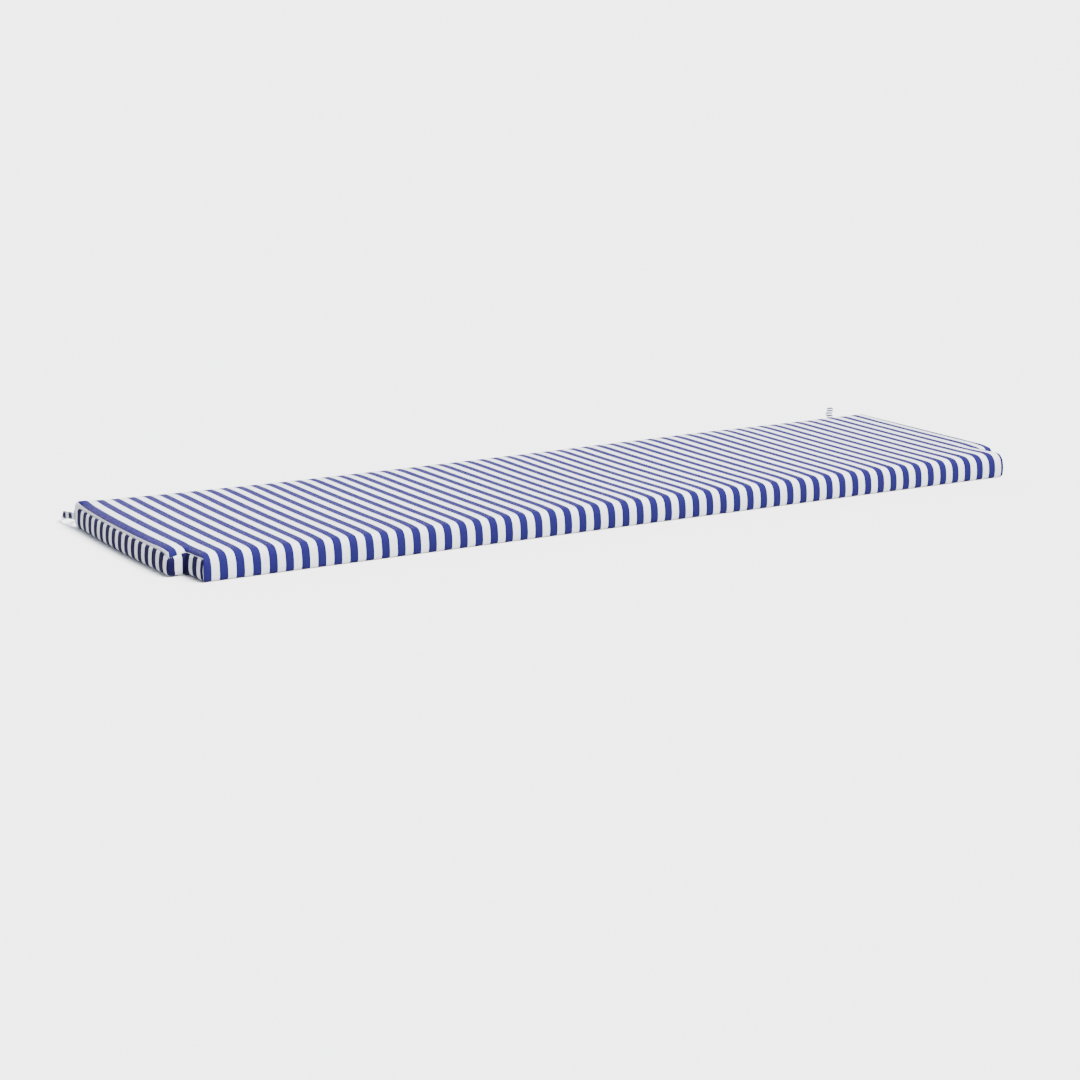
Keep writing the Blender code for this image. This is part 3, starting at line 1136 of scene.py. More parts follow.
    def grid(self, row: int, first_id: int) -> tuple[Array, Array]:
        """The grid that closes the top or the underside.

        Args:
            row: The row that it joins, -1 for the top and 0 for the underside.
            first_id: Index of the first new point.

        Returns:
            Indices by line along X and Y, with -1 in the notches, and the new points.
        """
        left, right, notch = self.left_flap, self.right_flap, self.notch_line
        ids = np.full((len(self.x_lines), len(self.y_lines)), -1)
        edge = [self.ids[row, self.wall_columns(corner)] for corner in Corner]
        ids[left:right + 1, 0] = edge[Corner.FLAP_LEFT]
        ids[right, :notch + 1] = edge[Corner.FLAP_RIGHT]
        ids[right:, notch] = edge[Corner.HOLLOW_RIGHT]
        ids[-1, notch:] = edge[Corner.SHOULDER_RIGHT]
        ids[:, -1] = edge[Corner.REAR_RIGHT][::-1]
        ids[0, notch:] = edge[Corner.REAR_LEFT][::-1]
        ids[:left + 1, notch] = edge[Corner.SHOULDER_LEFT]
        ids[left, :notch + 1] = edge[Corner.HOLLOW_LEFT][::-1]
        at = self.plain
        front_x = np.concatenate((
            at[ids[:left, notch], 0], at[ids[left:right + 1, 0], 0], at[ids[right + 1:, notch], 0]))
        rear_x = at[ids[:, -1], 0]
        line_y = np.concatenate((at[ids[left, :notch + 1], 1], at[ids[0, notch + 1:], 1]))
        share = (line_y - line_y[0]) / (line_y[-1] - line_y[0])
        points = []
        for across in range(1, len(line_y) - 1):
            columns = range(1, len(rear_x) - 1) if across > notch else range(left + 1, right)
            for along in columns:
                if ids[along, across] >= 0:
                    continue
                ids[along, across] = first_id + len(points)
                x = front_x[along] + (rear_x[along] - front_x[along]) * share[across]
                points.append((x, line_y[across], at[ids[0, -1], 2]))
        return ids, np.array(points)

    def all_faces(self) -> Array:
        """Join the rows and grids by faces.

        Returns:
            Every face as four indices, two of them equal in a triangle's place.
        """
        faces = [ring_cells(self.ids)]
        for ids, turn in ((self.top_ids, 1), (self.low_ids, -1)):
            closing = cells(ids)[:, [0, 3, 2, 1]]
            faces.append(closing[(closing >= 0).all(axis=1)][:, ::turn])
        return np.concatenate(faces)

    def edge_list(self) -> Array:
        """Pairs of joined indices."""
        pairs = np.concatenate([self.faces[:, [a, (a + 1) % 4]] for a in range(4)])
        return pairs[pairs[:, 0] != pairs[:, 1]]

    def level_out(self, passes: int = 10) -> None:
        """Soften the bend where the rounded edge meets the flat of the top.

        Args:
            passes: How often the heights are evened out.
        """
        pairs = self.edge_list()
        last = len(self.form.edge_rows) - 1
        soft_rows = [index + 1 for index, row in enumerate(self.rows) if row > last - self.soft_rows]
        weight = np.zeros(len(self.points))
        weight[self.ids[soft_rows].ravel()] = self.softening
        weight[self.ids[-1]] = self.softening
        weight[self.top_ids[self.top_ids >= 0]] = self.softening
        for _ in range(passes):
            total = np.zeros(len(self.points))
            count = np.zeros(len(self.points))
            for a, b in ((0, 1), (1, 0)):
                np.add.at(total, pairs[:, a], self.points[pairs[:, b], 2])
                np.add.at(count, pairs[:, a], 1.0)
            mean = total / np.maximum(count, 1.0)
            self.points[:, 2] += weight * (mean - self.points[:, 2]) * (count > 0)

    def cloth_places(self) -> Array:
        """Lay the surface out as flat cloth.

        Returns:
            Where every point lies on it, along the cushion's length and its depth.
        """
        cloth = self.plain[:, :2].copy()
        seam = 1 + self.rows.index(self.form.low_seam_row)
        self.unroll(cloth, range(len(self.ids) - 2, seam - 1, -1), 1)
        self.unroll(cloth, range(1, seam), -1)
        cloth[:, 0] -= StripeDrift().at(self.plain[:, 0], self.plain[:, 1], self.form.half_depth)
        cloth[:, 0] -= self.form.pushed(self.plain)
        return cloth

    def unroll(self, cloth: Array, rows: range, source: int) -> None:
        """Carry the cloth's measure over the edge, row by row.

        Args:
            cloth: The places on the flat cloth, which are changed here.
            rows: Rows in the order in which they are reached.
            source: Step from a row to the one that it continues.
        """
        out = self.facing
        for row in rows:
            here, there = self.ids[row], self.ids[row + source]
            flat = self.plain[here, :2] - self.plain[there, :2]
            drop = (self.points[here, 2] - self.points[there, 2])[:, None] * out ** 2
            longer = np.sqrt(flat ** 2 + drop ** 2) - np.abs(flat)
            cloth[here] = cloth[there] + flat + np.sign(np.round(out, 6)) * longer

    def compact(self) -> tuple[Array, list]:
        """Leave out the unused points.

        Returns:
            Indices of the used points, and the faces between them without repeated corners.
        """
        used, index = np.unique(self.faces, return_inverse=True)
        faces = [tuple(dict.fromkeys(face.tolist())) for face in index.reshape(-1, 4)]
        return used, [face for face in faces if len(face) > 2]


# ---------------------------------------------------------------------------------------------
# Seams
# ---------------------------------------------------------------------------------------------

@dataclass
class EndSeam:
    """The seam all round one end panel.

    Attributes:
        skin: The cushion's surface.
        side: Which end.
        valley: Depth of the seam.
        spread: How far from the seam the cloth is back at its level.
        recess: How far the filled body lies under the panel.
        fold: Width over which the cover turns in under the panel.
        pucker: The small gathers along the seam.
        pucker_reach: How far from the seam they fade.
        right_stretch: Stretch of the gathers' run at the right end.
        thread_lift: How far the seam's thread stands above the bottom of its valley.
    """

    skin: Skin
    side: Side
    valley: float = 0.0011
    spread: float = 0.0020
    recess: float = 0.0022
    fold: float = 0.0006
    pucker: Ripple = Ripple(height=0.00045, lengths=(0.0093, 0.0137, 0.0212), seed=5)
    pucker_reach: float = 0.0075
    right_stretch: float = 1.07
    thread_lift: float = 0.00005

    def __post_init__(self) -> None:
        """Measure the run along the panel and the way up the wall."""
        skin = self.skin
        form = skin.form
        if self.side is Side.RIGHT:
            first = skin.first_column[Corner.FLAP_RIGHT] + skin.arc_steps
            last = skin.first_column[Corner.REAR_RIGHT]
        else:
            first = skin.first_column[Corner.REAR_LEFT] + skin.arc_steps
            last = skin.column_count
        self.columns = np.arange(first, last + 1) % skin.column_count
        middle, _ = skin.outline(0.0, 0.0, False)
        steps = np.linalg.norm(np.roll(middle, -1, axis=0) - middle, axis=1)
        run = np.concatenate(((0.0,), np.cumsum(steps)))
        self.total = run[-1]
        self.run = run[:-1]
        self.start = run[first]
        self.stop = run[last]
        heights = np.array([form.section(row)[:2] for row in skin.rows])
        climb = np.linalg.norm(np.diff(heights, axis=0), axis=1)
        self.climb = np.concatenate(((0.0,), np.cumsum(climb)))
        self.low = self.climb[skin.rows.index(form.low_seam_row)]
        self.high = self.climb[skin.rows.index(form.seam_row)]

    def distances(self) -> tuple[Array, Array]:
        """Measure from the seam, by row and column.

        Returns:
            How far each place lies outside the panel and how far inside, or -1 on the other side.
        """
        run = self.run[None, :]
        climb = self.climb[:, None]
        half_total = self.total / 2
        middle = (self.start + self.stop) / 2
        away = np.abs((run - middle + half_total) % self.total - half_total)
        beside = away - (self.stop - self.start) / 2
        above = np.maximum(self.low - climb, climb - self.high)
        outside = np.hypot(np.maximum(beside, 0), np.maximum(above, 0))
        inside = np.maximum(-np.maximum(beside, above), 0.0)
        within = (beside <= TOUCHING) & (above <= TOUCHING)
        return np.where(within, -1.0, outside), np.where(within, inside, -1.0)

    def dip(self, distance: Array) -> Array:
        """Depth of the seam's valley at a distance from it."""
        return self.valley * np.exp(-(distance / self.spread) ** 2)

    def puckers(self, distance: Array) -> Array:
        """Small gathers along the seam, fading away from it.

        Args:
            distance: Distance from the seam, by row and column.

        Returns:
            Their height.
        """
        stretch = 1.0 if self.side is Side.LEFT else self.right_stretch
        wave = self.pucker.at(self.run * stretch)[None, :]
        return wave * np.exp(-np.maximum(distance, 0) / self.pucker_reach)

    def cover_offset(self) -> Array:
        """Shape the cover at the seam and under the panel.

        Returns:
            How far the cover stands out from the skin, by row and column.
        """
        outside, inside = self.distances()
        hidden = self.valley + self.recess * np.clip(inside / self.fold, 0, 1)
        shown = self.dip(np.maximum(outside, 0)) - self.puckers(outside)
        return -np.where(inside >= 0, hidden, shown)

    def thread_lines(self) -> list[list[Vector]]:
        """The lines of thread that show in the lower and the upper seam.

        Returns:
            Places along each line, at the bottom of the seam's valley.
        """
        skin, form = self.skin, self.skin.form
        lines = []
        for row in (form.low_seam_row, form.seam_row):
            places = skin.points[skin.ids[1 + skin.rows.index(row), self.columns]].copy()
            places[:, :2] -= skin.facing[self.columns] * (self.valley - self.thread_lift)
            lines.append([Vector(place) for place in places])
        return lines


# ---------------------------------------------------------------------------------------------
# Sub-assemblies
# ---------------------------------------------------------------------------------------------

@dataclass
class Swelling:
    """How the filling presses the slack cloth outwards, found by a short cloth simulation.

    Attributes:
        voxel: Size of the simulated mesh's faces.
        pressure: Pressure of the filling.
        frames: Length of the simulation.
        cap: Largest move of any point, in metres.
        start_inset: How much smaller the simulated form starts.
        held_height: Height below which the cloth is held.
        stiffness: Stiffness of the cloth in its plane.
        shear: Its stiffness against shear.
        bending: Its stiffness against bending.
        shrink: How much the cloth shrinks, less than 0 where it grows.
        mass: Mass of each point.
        quality: Steps of each frame.
    """

    voxel: float = 0.006
    pressure: float = 4.0
    frames: int = 20
    cap: float = 0.0011
    start_inset: float = 0.0015
    held_height: float = 0.006
    stiffness: float = 12.0
    shear: float = 6.0
    bending: float = 0.4
    shrink: float = -0.012
    mass: float = 0.3
    quality: int = 4

    def moves(self, points: Array, faces: list) -> Array:
        """Simulate the cover.

        Args:
            points: Places on the cover.
            faces: Its faces.

        Returns:
            The move of each point.
        """
        scene = bpy.context.scene
        mesh = raw_mesh("filling_trial", points, [], faces)
        work = bmesh.new()
        work.from_mesh(mesh)
        work.normal_update()
        for vertex in work.verts:
            vertex.co -= vertex.normal * self.start_inset
        work.to_mesh(mesh)
        work.free()
        trial = linked("filling_trial", mesh)
        remesh = trial.modifiers.new("even", "REMESH")
        remesh.mode = "VOXEL"
        remesh.voxel_size = self.voxel
        even = finished_mesh(trial)
        trial.modifiers.remove(remesh)
        trial.data = even
        rest = mesh_places(even)
        held = trial.vertex_groups.new(name="held")
        held.add(np.flatnonzero(rest[:, 2] < self.held_height).tolist(), 1.0, "REPLACE")
        self.add_cloth(trial, held.name)
        for number in range(1, self.frames + 1):
            scene.frame_set(number)
        moved = mesh_places(finished_mesh(trial)) - rest
        scene.frame_set(1)
        bpy.data.objects.remove(trial, do_unlink=True)
        length = np.linalg.norm(moved, axis=1)
        LOG.info("filling: moves up to %.1f mm, half under %.1f mm", length.max() * 1000,
                 np.median(length) * 1000)
        moved *= (self.cap / (self.cap + length))[:, None]
        return self.carried(points, rest, moved)

    def add_cloth(self, trial: bpy.types.Object, held: str) -> None:
        """Make an object behave as cloth under pressure.

        Args:
            trial: The object.
            held: Name of its group of held points.
        """
        cloth = trial.modifiers.new("cloth", "CLOTH")
        settings = {
            "quality": self.quality,
            "mass": self.mass,
            "tension_stiffness": self.stiffness,
            "compression_stiffness": self.stiffness,
            "shear_stiffness": self.shear,
            "bending_stiffness": self.bending,
            "use_pressure": True,
            "uniform_pressure_force": self.pressure,
            "shrink_min": self.shrink,
            "vertex_group_mass": held,
        }
        for name, value in settings.items():
            setattr(cloth.settings, name, value)
        cloth.settings.effector_weights.gravity = 0.0
        cloth.collision_settings.use_collision = False
        cloth.point_cache.frame_start = 1
        cloth.point_cache.frame_end = self.frames

    @staticmethod
    def carried(points: Array, rest: Array, moved: Array, near: int = 6, blur: float = 0.001) -> Array:
        """Carry moves from the simulated mesh to other points.

        Args:
            points: The points that take the moves.
            rest: The simulated mesh before it moved.
            moved: The move of each of its points.
            near: How many neighbours count.
            blur: Distance within which neighbours count about alike.

        Returns:
            The move of each point.
        """
        tree = KDTree(len(rest))
        for index, place in enumerate(rest):
            tree.insert(place, index)
        tree.balance()
        result = np.zeros_like(points)
        for index, place in enumerate(points):
            found = tree.find_n(place, near)
            weight = np.array([1.0 / (distance + blur) ** 2 for _, _, distance in found])
            neighbours = moved[[item for _, item, _ in found]]
            result[index] = (neighbours * weight[:, None]).sum(axis=0) / weight.sum()
        return result


@dataclass
class Cover:
    """The cover with its filling, all in one cloth but for the two end panels.

    Attributes:
        skin: The cushion's surface.
        seams: The seams round the end panels.
        swelling: The simulation of its filling.
        loose_from: Height above which the cloth gives way to the filling.
        loose_over: Height from there to where it gives way in full.
    """

    skin: Skin
    seams: list[EndSeam]
    swelling: Swelling = field(default_factory=Swelling)
    loose_from: float = 0.012
    loose_over: float = 0.020

    def build(self, material: bpy.types.Material) -> bpy.types.Object:
        """Make the cover.

        Args:
            material: The striped canvas.

        Returns:
            The finished piece.
        """
        skin = self.skin
        points = skin.points.copy()
        used, faces = skin.compact()
        points[used] += self.loose_moves(points[used], faces)
        rows = skin.ids[1:len(skin.rows) + 1]
        for seam in self.seams:
            points[rows, :2] += seam.cover_offset()[:, :, None] * skin.facing[None, :, :]
        piece = mesh_piece("cushion_cover", points[used], faces, material, skin.cloth[used])
        dress(piece, "cushion_canvas", "cushion")
        return piece

    def loose_moves(self, points: Array, faces: list) -> Array:
        """The filling's push on the cover, kept off the lower seams and the underside.

        Args:
            points: Places on the cover.
            faces: Its faces.

        Returns:
            The move of each point.
        """
        loose = ease((points[:, 2] - self.loose_from) / self.loose_over)
        return self.swelling.moves(points, faces) * loose[:, None]


@dataclass
class EndPanel:
    """A strip of the same canvas, sewn in to close one end and line its notch.

    Attributes:
        seam: The seam round it.
        thickness: Thickness of the cloth with its turned-in edges.
        rear_stripe: Where the first blue stripe lies, from the rear seam.
        pucker_share: Height of the panel's gathers beside the cover's.
        pucker_stretch: Stretch of their run.
    """

    seam: EndSeam
    thickness: float = 0.0014
    rear_stripe: float = 0.0181
    pucker_share: float = 0.6
    pucker_stretch: float = 0.93

    def build(self, material: bpy.types.Material) -> bpy.types.Object:
        """Make the panel.

        Args:
            material: Its striped canvas.

        Returns:
            The finished piece.
        """
        seam, skin = self.seam, self.seam.skin
        form = skin.form
        low = skin.rows.index(form.low_seam_row)
        high = skin.rows.index(form.seam_row)
        _, inside = seam.distances()
        inside = inside[low:high + 1][:, seam.columns]
        puckers = self.panel_puckers(inside)
        rows = skin.ids[1 + low:2 + high][:, seam.columns]
        facing = skin.facing[seam.columns][None, :, :]
        outer = skin.points[rows]
        outer[:, :, :2] += (puckers - seam.dip(inside))[:, :, None] * facing
        inner = outer.copy()
        inner[:, :, :2] -= self.thickness * facing
        run = np.unwrap(seam.run[seam.columns], period=seam.total)
        from_rear = run[-1] - run if seam.side is Side.RIGHT else run - run[0]
        along = np.tile(from_rear, (len(rows), 1))
        upward = np.tile(seam.climb[low:high + 1][:, None], (1, rows.shape[1]))
        points, faces = self.closed(outer, inner)
        cloth = np.stack((along, upward), axis=-1).reshape(-1, 2)
        piece = mesh_piece(f"end_panel_cloth_{seam.side.word}", points, faces, material,
                           np.concatenate((cloth, cloth)))
        length = float(from_rear.max())
        width = float(seam.high - seam.low)
        dress(piece, "panel_canvas", f"end_panel_{seam.side.word}")
        LOG.info("%s is cut %.4f by %.4f m", piece.name, width, length)
        return piece

    def panel_puckers(self, inside: Array) -> Array:
        """Small gathers along the panel's seams.

        Args:
            inside: Distance from the seam, by row and column.

        Returns:
            Their height.
        """
        seam = self.seam
        wave = seam.pucker.at(seam.run[seam.columns] * self.pucker_stretch)[None, :]
        return wave * self.pucker_share * np.exp(-inside / seam.pucker_reach)

    @staticmethod
    def closed(outer: Array, inner: Array) -> tuple[Array, list]:
        """Join two sheets of places into one closed strip.

        Args:
            outer: Places of the outer face by row and column.
            inner: Places of the inner face.

        Returns:
            All places, and the faces.
        """
        front = np.arange(outer[..., 0].size).reshape(outer.shape[:2])
        shift = front.size
        rim = np.concatenate((front[0, :-1], front[:-1, -1], front[-1, :0:-1], front[:0:-1, 0]))
        following = np.roll(rim, -1)
        sides = np.stack((rim, rim + shift, following + shift, following), axis=-1)
        shell = cells(front)
        faces = np.concatenate((shell, shell[:, [0, 3, 2, 1]] + shift, sides))
        return np.concatenate((outer.reshape(-1, 3), inner.reshape(-1, 3))), faces.tolist()


class TieRoute(Enum):
    """Routes of the ties from their rear corner: outward, behind, height. 0 high is lying down."""

    LEFT_OUTER = (
        (0.0002, -0.0008, 0.018), (0.0002, 0.010, 0.0172), (0.0003, 0.021, 0.0158),
        (0.0006, 0.033, 0.0144), (0.0009, 0.045, 0.0127), (-0.002, 0.057, 0.0100),
        (-0.010, 0.067, 0.0064), (-0.022, 0.075, 0.0026), (-0.038, 0.080, 0.0),
        (-0.057, 0.082, 0.0), (-0.077, 0.081, 0.0), (-0.097, 0.079, 0.0),
        (-0.117, 0.081, 0.0), (-0.137, 0.088, 0.0), (-0.157, 0.097, 0.0),
        (-0.178, 0.103, 0.0), (-0.199, 0.104, 0.0), (-0.220, 0.099, 0.0),
    )
    LEFT_INNER = (
        (-0.0040, 0.0006, 0.018), (-0.0048, 0.010, 0.018), (-0.009, 0.023, 0.0175),
        (-0.018, 0.034, 0.0150), (-0.031, 0.042, 0.0105), (-0.046, 0.046, 0.0060),
        (-0.063, 0.046, 0.0022), (-0.081, 0.042, 0.0), (-0.099, 0.037, 0.0),
        (-0.118, 0.035, 0.0), (-0.138, 0.038, 0.0), (-0.157, 0.045, 0.0),
        (-0.176, 0.052, 0.0), (-0.196, 0.056, 0.0), (-0.217, 0.055, 0.0),
        (-0.238, 0.049, 0.0), (-0.258, 0.042, 0.0),
    )
    RIGHT_OUTER = (
        (-0.0012, -0.0010, 0.018), (-0.0010, 0.012, 0.018), (0.0000, 0.028, 0.0178),
        (0.0020, 0.044, 0.0160), (0.0050, 0.060, 0.0115), (0.009, 0.076, 0.0065),
        (0.014, 0.092, 0.0022), (0.020, 0.108, 0.0), (0.027, 0.124, 0.0),
        (0.036, 0.140, 0.0), (0.047, 0.156, 0.0), (0.058, 0.171, 0.0),
        (0.068, 0.188, 0.0), (0.079, 0.204, 0.0), (0.092, 0.219, 0.0),
        (0.105, 0.235, 0.0), (0.115, 0.252, 0.0), (0.125, 0.269, 0.0),
    )
    RIGHT_INNER = (
        (-0.0040, 0.0006, 0.018), (-0.0048, 0.010, 0.018), (-0.009, 0.023, 0.0175),
        (-0.017, 0.036, 0.0148), (-0.029, 0.046, 0.0100), (-0.044, 0.052, 0.0055),
        (-0.061, 0.055, 0.0020), (-0.079, 0.058, 0.0), (-0.096, 0.065, 0.0),
        (-0.113, 0.075, 0.0), (-0.131, 0.083, 0.0), (-0.151, 0.086, 0.0),
        (-0.171, 0.082, 0.0), (-0.189, 0.074, 0.0), (-0.208, 0.067, 0.0),
        (-0.229, 0.065, 0.0), (-0.250, 0.068, 0.0),
    )

    @property
    def side(self) -> Side:
        """The end that the tie is sewn to."""
        return Side.LEFT if self.name.startswith("LEFT") else Side.RIGHT


@dataclass(frozen=True)
class Station:
    """One cross-section of a tie.

    Attributes:
        middle: Its middle.
        across: Direction across the strip.
        through: Direction through the strip.
        travel: How far along the tie it lies.
    """

    middle: Vector
    across: Vector
    through: Vector
    travel: float

    def at(self, beside: float, above: float) -> Vector:
        """The place at a distance across and a distance through the strip from the middle."""
        return self.middle + self.across * beside + self.through * above


@dataclass
class Tie:
    """A strip of canvas folded lengthwise and stitched along both edges, hemmed at its free end.

    Attributes:
        form: The cushion that it is sewn to.
        route: The way that it lies.
        length: Its real length.
        width: Its width.
        thickness: Its thickness.
        clearance: Gap to the ground.
        turn_start: How far along it begins to turn flat.
        turn_end: How far along it lies flat.
        spacing: Distance between two cross-sections.
        fineness: Steps between two points of the route.
        shares: Places across the strip from -1 to 1 that have a corner.
        edge_power: How squarely the strip's edges are rounded.
        stitch_inset: Distance of the stitching from the edge.
        groove: How far the stitching draws the cloth in.
        groove_spread: Width of that groove, as a share of half the strip.
        hem_length: Length of the doubled end.
        hem_height: How much thicker it is.
        hem_step: Length over which the thickness rises to the hem.
        hem_power: How far across the strip the hem keeps its height.
        hem_stitch: Distance of the hem's stitching from its start.
        hem_groove: Depth of that stitching's groove beside the others.
        hem_groove_spread: Width of that groove.
        thread_thickness: Thickness of its stitching.
        thread_lift: How far the stitching stands above its groove.
        hem_steps: Steps of the hem's stitching to either side of the middle.
        first_stripe: Where the middle of a blue stripe lies, from the seam.
    """

    form: CushionForm
    route: TieRoute
    length: float = 0.280
    width: float = 0.011
    thickness: float = 0.0018
    clearance: float = 0.0003
    turn_start: float = 0.040
    turn_end: float = 0.100
    spacing: float = 0.0020
    fineness: int = 24
    shares: tuple[float, ...] = (
        -1.0, -0.95, -0.84, -0.69, -0.54, -0.3, 0.0, 0.3, 0.54, 0.69, 0.84, 0.95, 1.0)
    edge_power: int = 7
    stitch_inset: float = 0.0017
    groove: float = 0.00028
    groove_spread: float = 0.07
    hem_length: float = 0.007
    hem_height: float = 0.0005
    hem_step: float = 0.0012
    hem_power: int = 6
    hem_stitch: float = 0.0014
    hem_groove: float = 0.8
    hem_groove_spread: float = 0.0006
    thread_thickness: float = 0.00042
    thread_lift: float = 0.00004
    hem_steps: int = 6
    first_stripe: float = 0.0168

    @property
    def name(self) -> str:
        """Name of the solid that it stands for."""
        return f"tie_{self.route.name.lower()}"

    @property
    def stitch_share(self) -> float:
        """Where the stitching runs, as a share of half the width."""
        return 1 - 2 * self.stitch_inset / self.width

    def curve(self) -> tuple[list[Vector], list[float]]:
        """Walk along the route.

        Returns:
            Evenly spaced places, and how far along each one lies.
        """
        side = self.route.side
        corner = Vector((side * self.form.half_length, self.form.half_depth, 0.0))
        places = [corner + Vector((side * out, behind, up)) for out, behind, up in self.route.value]
        ends = [places[0] * 2 - places[1]] + places + [places[-1] * 2 - places[-2]]
        dense = []
        for four in zip(ends, ends[1:], ends[2:], ends[3:]):
            dense += [spline(*four, step / self.fineness) for step in range(self.fineness)]
        dense.append(places[-1])
        count = round(self.length / self.spacing) + 1
        spacing = self.length / (count - 1)
        found, travels = [dense[0]], [0.0]
        travelled = 0.0
        for start, stop in zip(dense, dense[1:]):
            stretch = (stop - start).length
            while len(found) < count and travelled + stretch >= len(found) * spacing - TOUCHING:
                distance = len(found) * spacing
                found.append(start.lerp(stop, (distance - travelled) / stretch))
                travels.append(distance)
            travelled += stretch
        return found, travels

    def stations(self) -> list[Station]:
        """Cross-sections from the seam to the free end, which turn from upright to flat.

        Returns:
            The cross-sections, clear of the ground.
        """
        places, travels = self.curve()
        found = []
        for index, (place, travel) in enumerate(zip(places, travels)):
            heading = (places[min(index + 1, len(places) - 1)] - places[max(index - 1, 0)]).normalized()
            sideways = heading.cross(Vector((0, 0, 1))).normalized()
            upright = sideways.cross(heading)
            share = (travel - self.turn_start) / (self.turn_end - self.turn_start)
            angle = math.pi / 2 * float(ease(np.array(share)))
            across = upright * math.cos(angle) + sideways * math.sin(angle)
            through = across.cross(heading)
            lowest = abs(across.z) * self.width / 2 + abs(through.z) * self.thickness / 2
            middle = Vector((place.x, place.y, max(place.z, lowest + self.clearance)))
            found.append(Station(middle, across, through, travel))
        return found

    def half_thickness(self, share: float, travel: float) -> float:
        """Half the strip's thickness.

        Args:
            share: Place across it, from -1 to 1.
            travel: Place along it.

        Returns:
            The half thickness, with the stitched groove and the hem.
        """
        flat = self.thickness / 2 * math.sqrt(max(1 - abs(share) ** self.edge_power, 0.0))
        from_line = (abs(share) - self.stitch_share) / self.groove_spread
        groove = self.groove * math.exp(-from_line ** 2)
        into_hem = travel - self.length + self.hem_length
        hem = self.hem_height / 2 * float(ease(np.array(into_hem / self.hem_step)))
        from_stitch = (into_hem - self.hem_stitch) / self.hem_groove_spread
        end_groove = self.groove * self.hem_groove * math.exp(-from_stitch ** 2)
        return max(flat - groove - end_groove + hem * (1 - abs(share) ** self.hem_power), 0.0)

    def build(self, material: bpy.types.Material, thread: "Stitching") -> bpy.types.Object:
        """Make the strip and its stitching.

        Args:
            material: Its striped canvas.
            thread: Makes the stitching.

        Returns:
            The strip.
        """
        stations = self.stations()
        outline = [(share, 1) for share in self.shares] + [(share, -1) for share in self.shares[-2:0:-1]]
        points, cloth = [], []
        for station in stations:
            for share, turn in outline:
                beside = share * self.width / 2
                points.append(station.at(beside, turn * self.half_thickness(share, station.travel)))
                cloth.append((station.travel, beside))
        rings = np.arange(len(points)).reshape(len(stations), -1)
        faces = [*ring_cells(rings).tolist(), rings[0].tolist(), rings[-1, ::-1].tolist()]
        piece = mesh_piece(f"{self.name}_strip", np.array(points), faces, material, np.array(cloth))
        stitches = thread.along(f"{self.name}_stitching", self.stitch_lines(stations))
        dress(piece, "tie_canvas", self.name)
        return piece

    def stitch_lines(self, stations: list[Station]) -> list[list[Vector]]:
        """The lines of stitching, on both faces along both edges and across the hem.

        Args:
            stations: The strip's cross-sections.

        Returns:
            Places along each line, clear of the ground.
        """
        line = self.stitch_share * self.width / 2
        lowest = self.thread_thickness / 2
        hem_start = self.length - self.hem_length + self.hem_stitch
        hem = next(station for station in stations if station.travel >= hem_start)
        hem_height = (self.thickness + self.hem_height) / 2
        hem_shares = [step / self.hem_steps for step in range(-self.hem_steps, self.hem_steps + 1)]
        result = []
        for turn in (1, -1):
            for edge in (-1, 1):
                heights = [self.half_thickness(self.stitch_share, station.travel) for station in stations]
                run = [station.at(edge * line, turn * (height + self.thread_lift))
                       for station, height in zip(stations, heights)]
                result.append(run[2:-1])
            result.append([hem.at(share * line, turn * hem_height) for share in hem_shares])
        return [[Vector((place.x, place.y, max(place.z, lowest))) for place in run] for run in result]


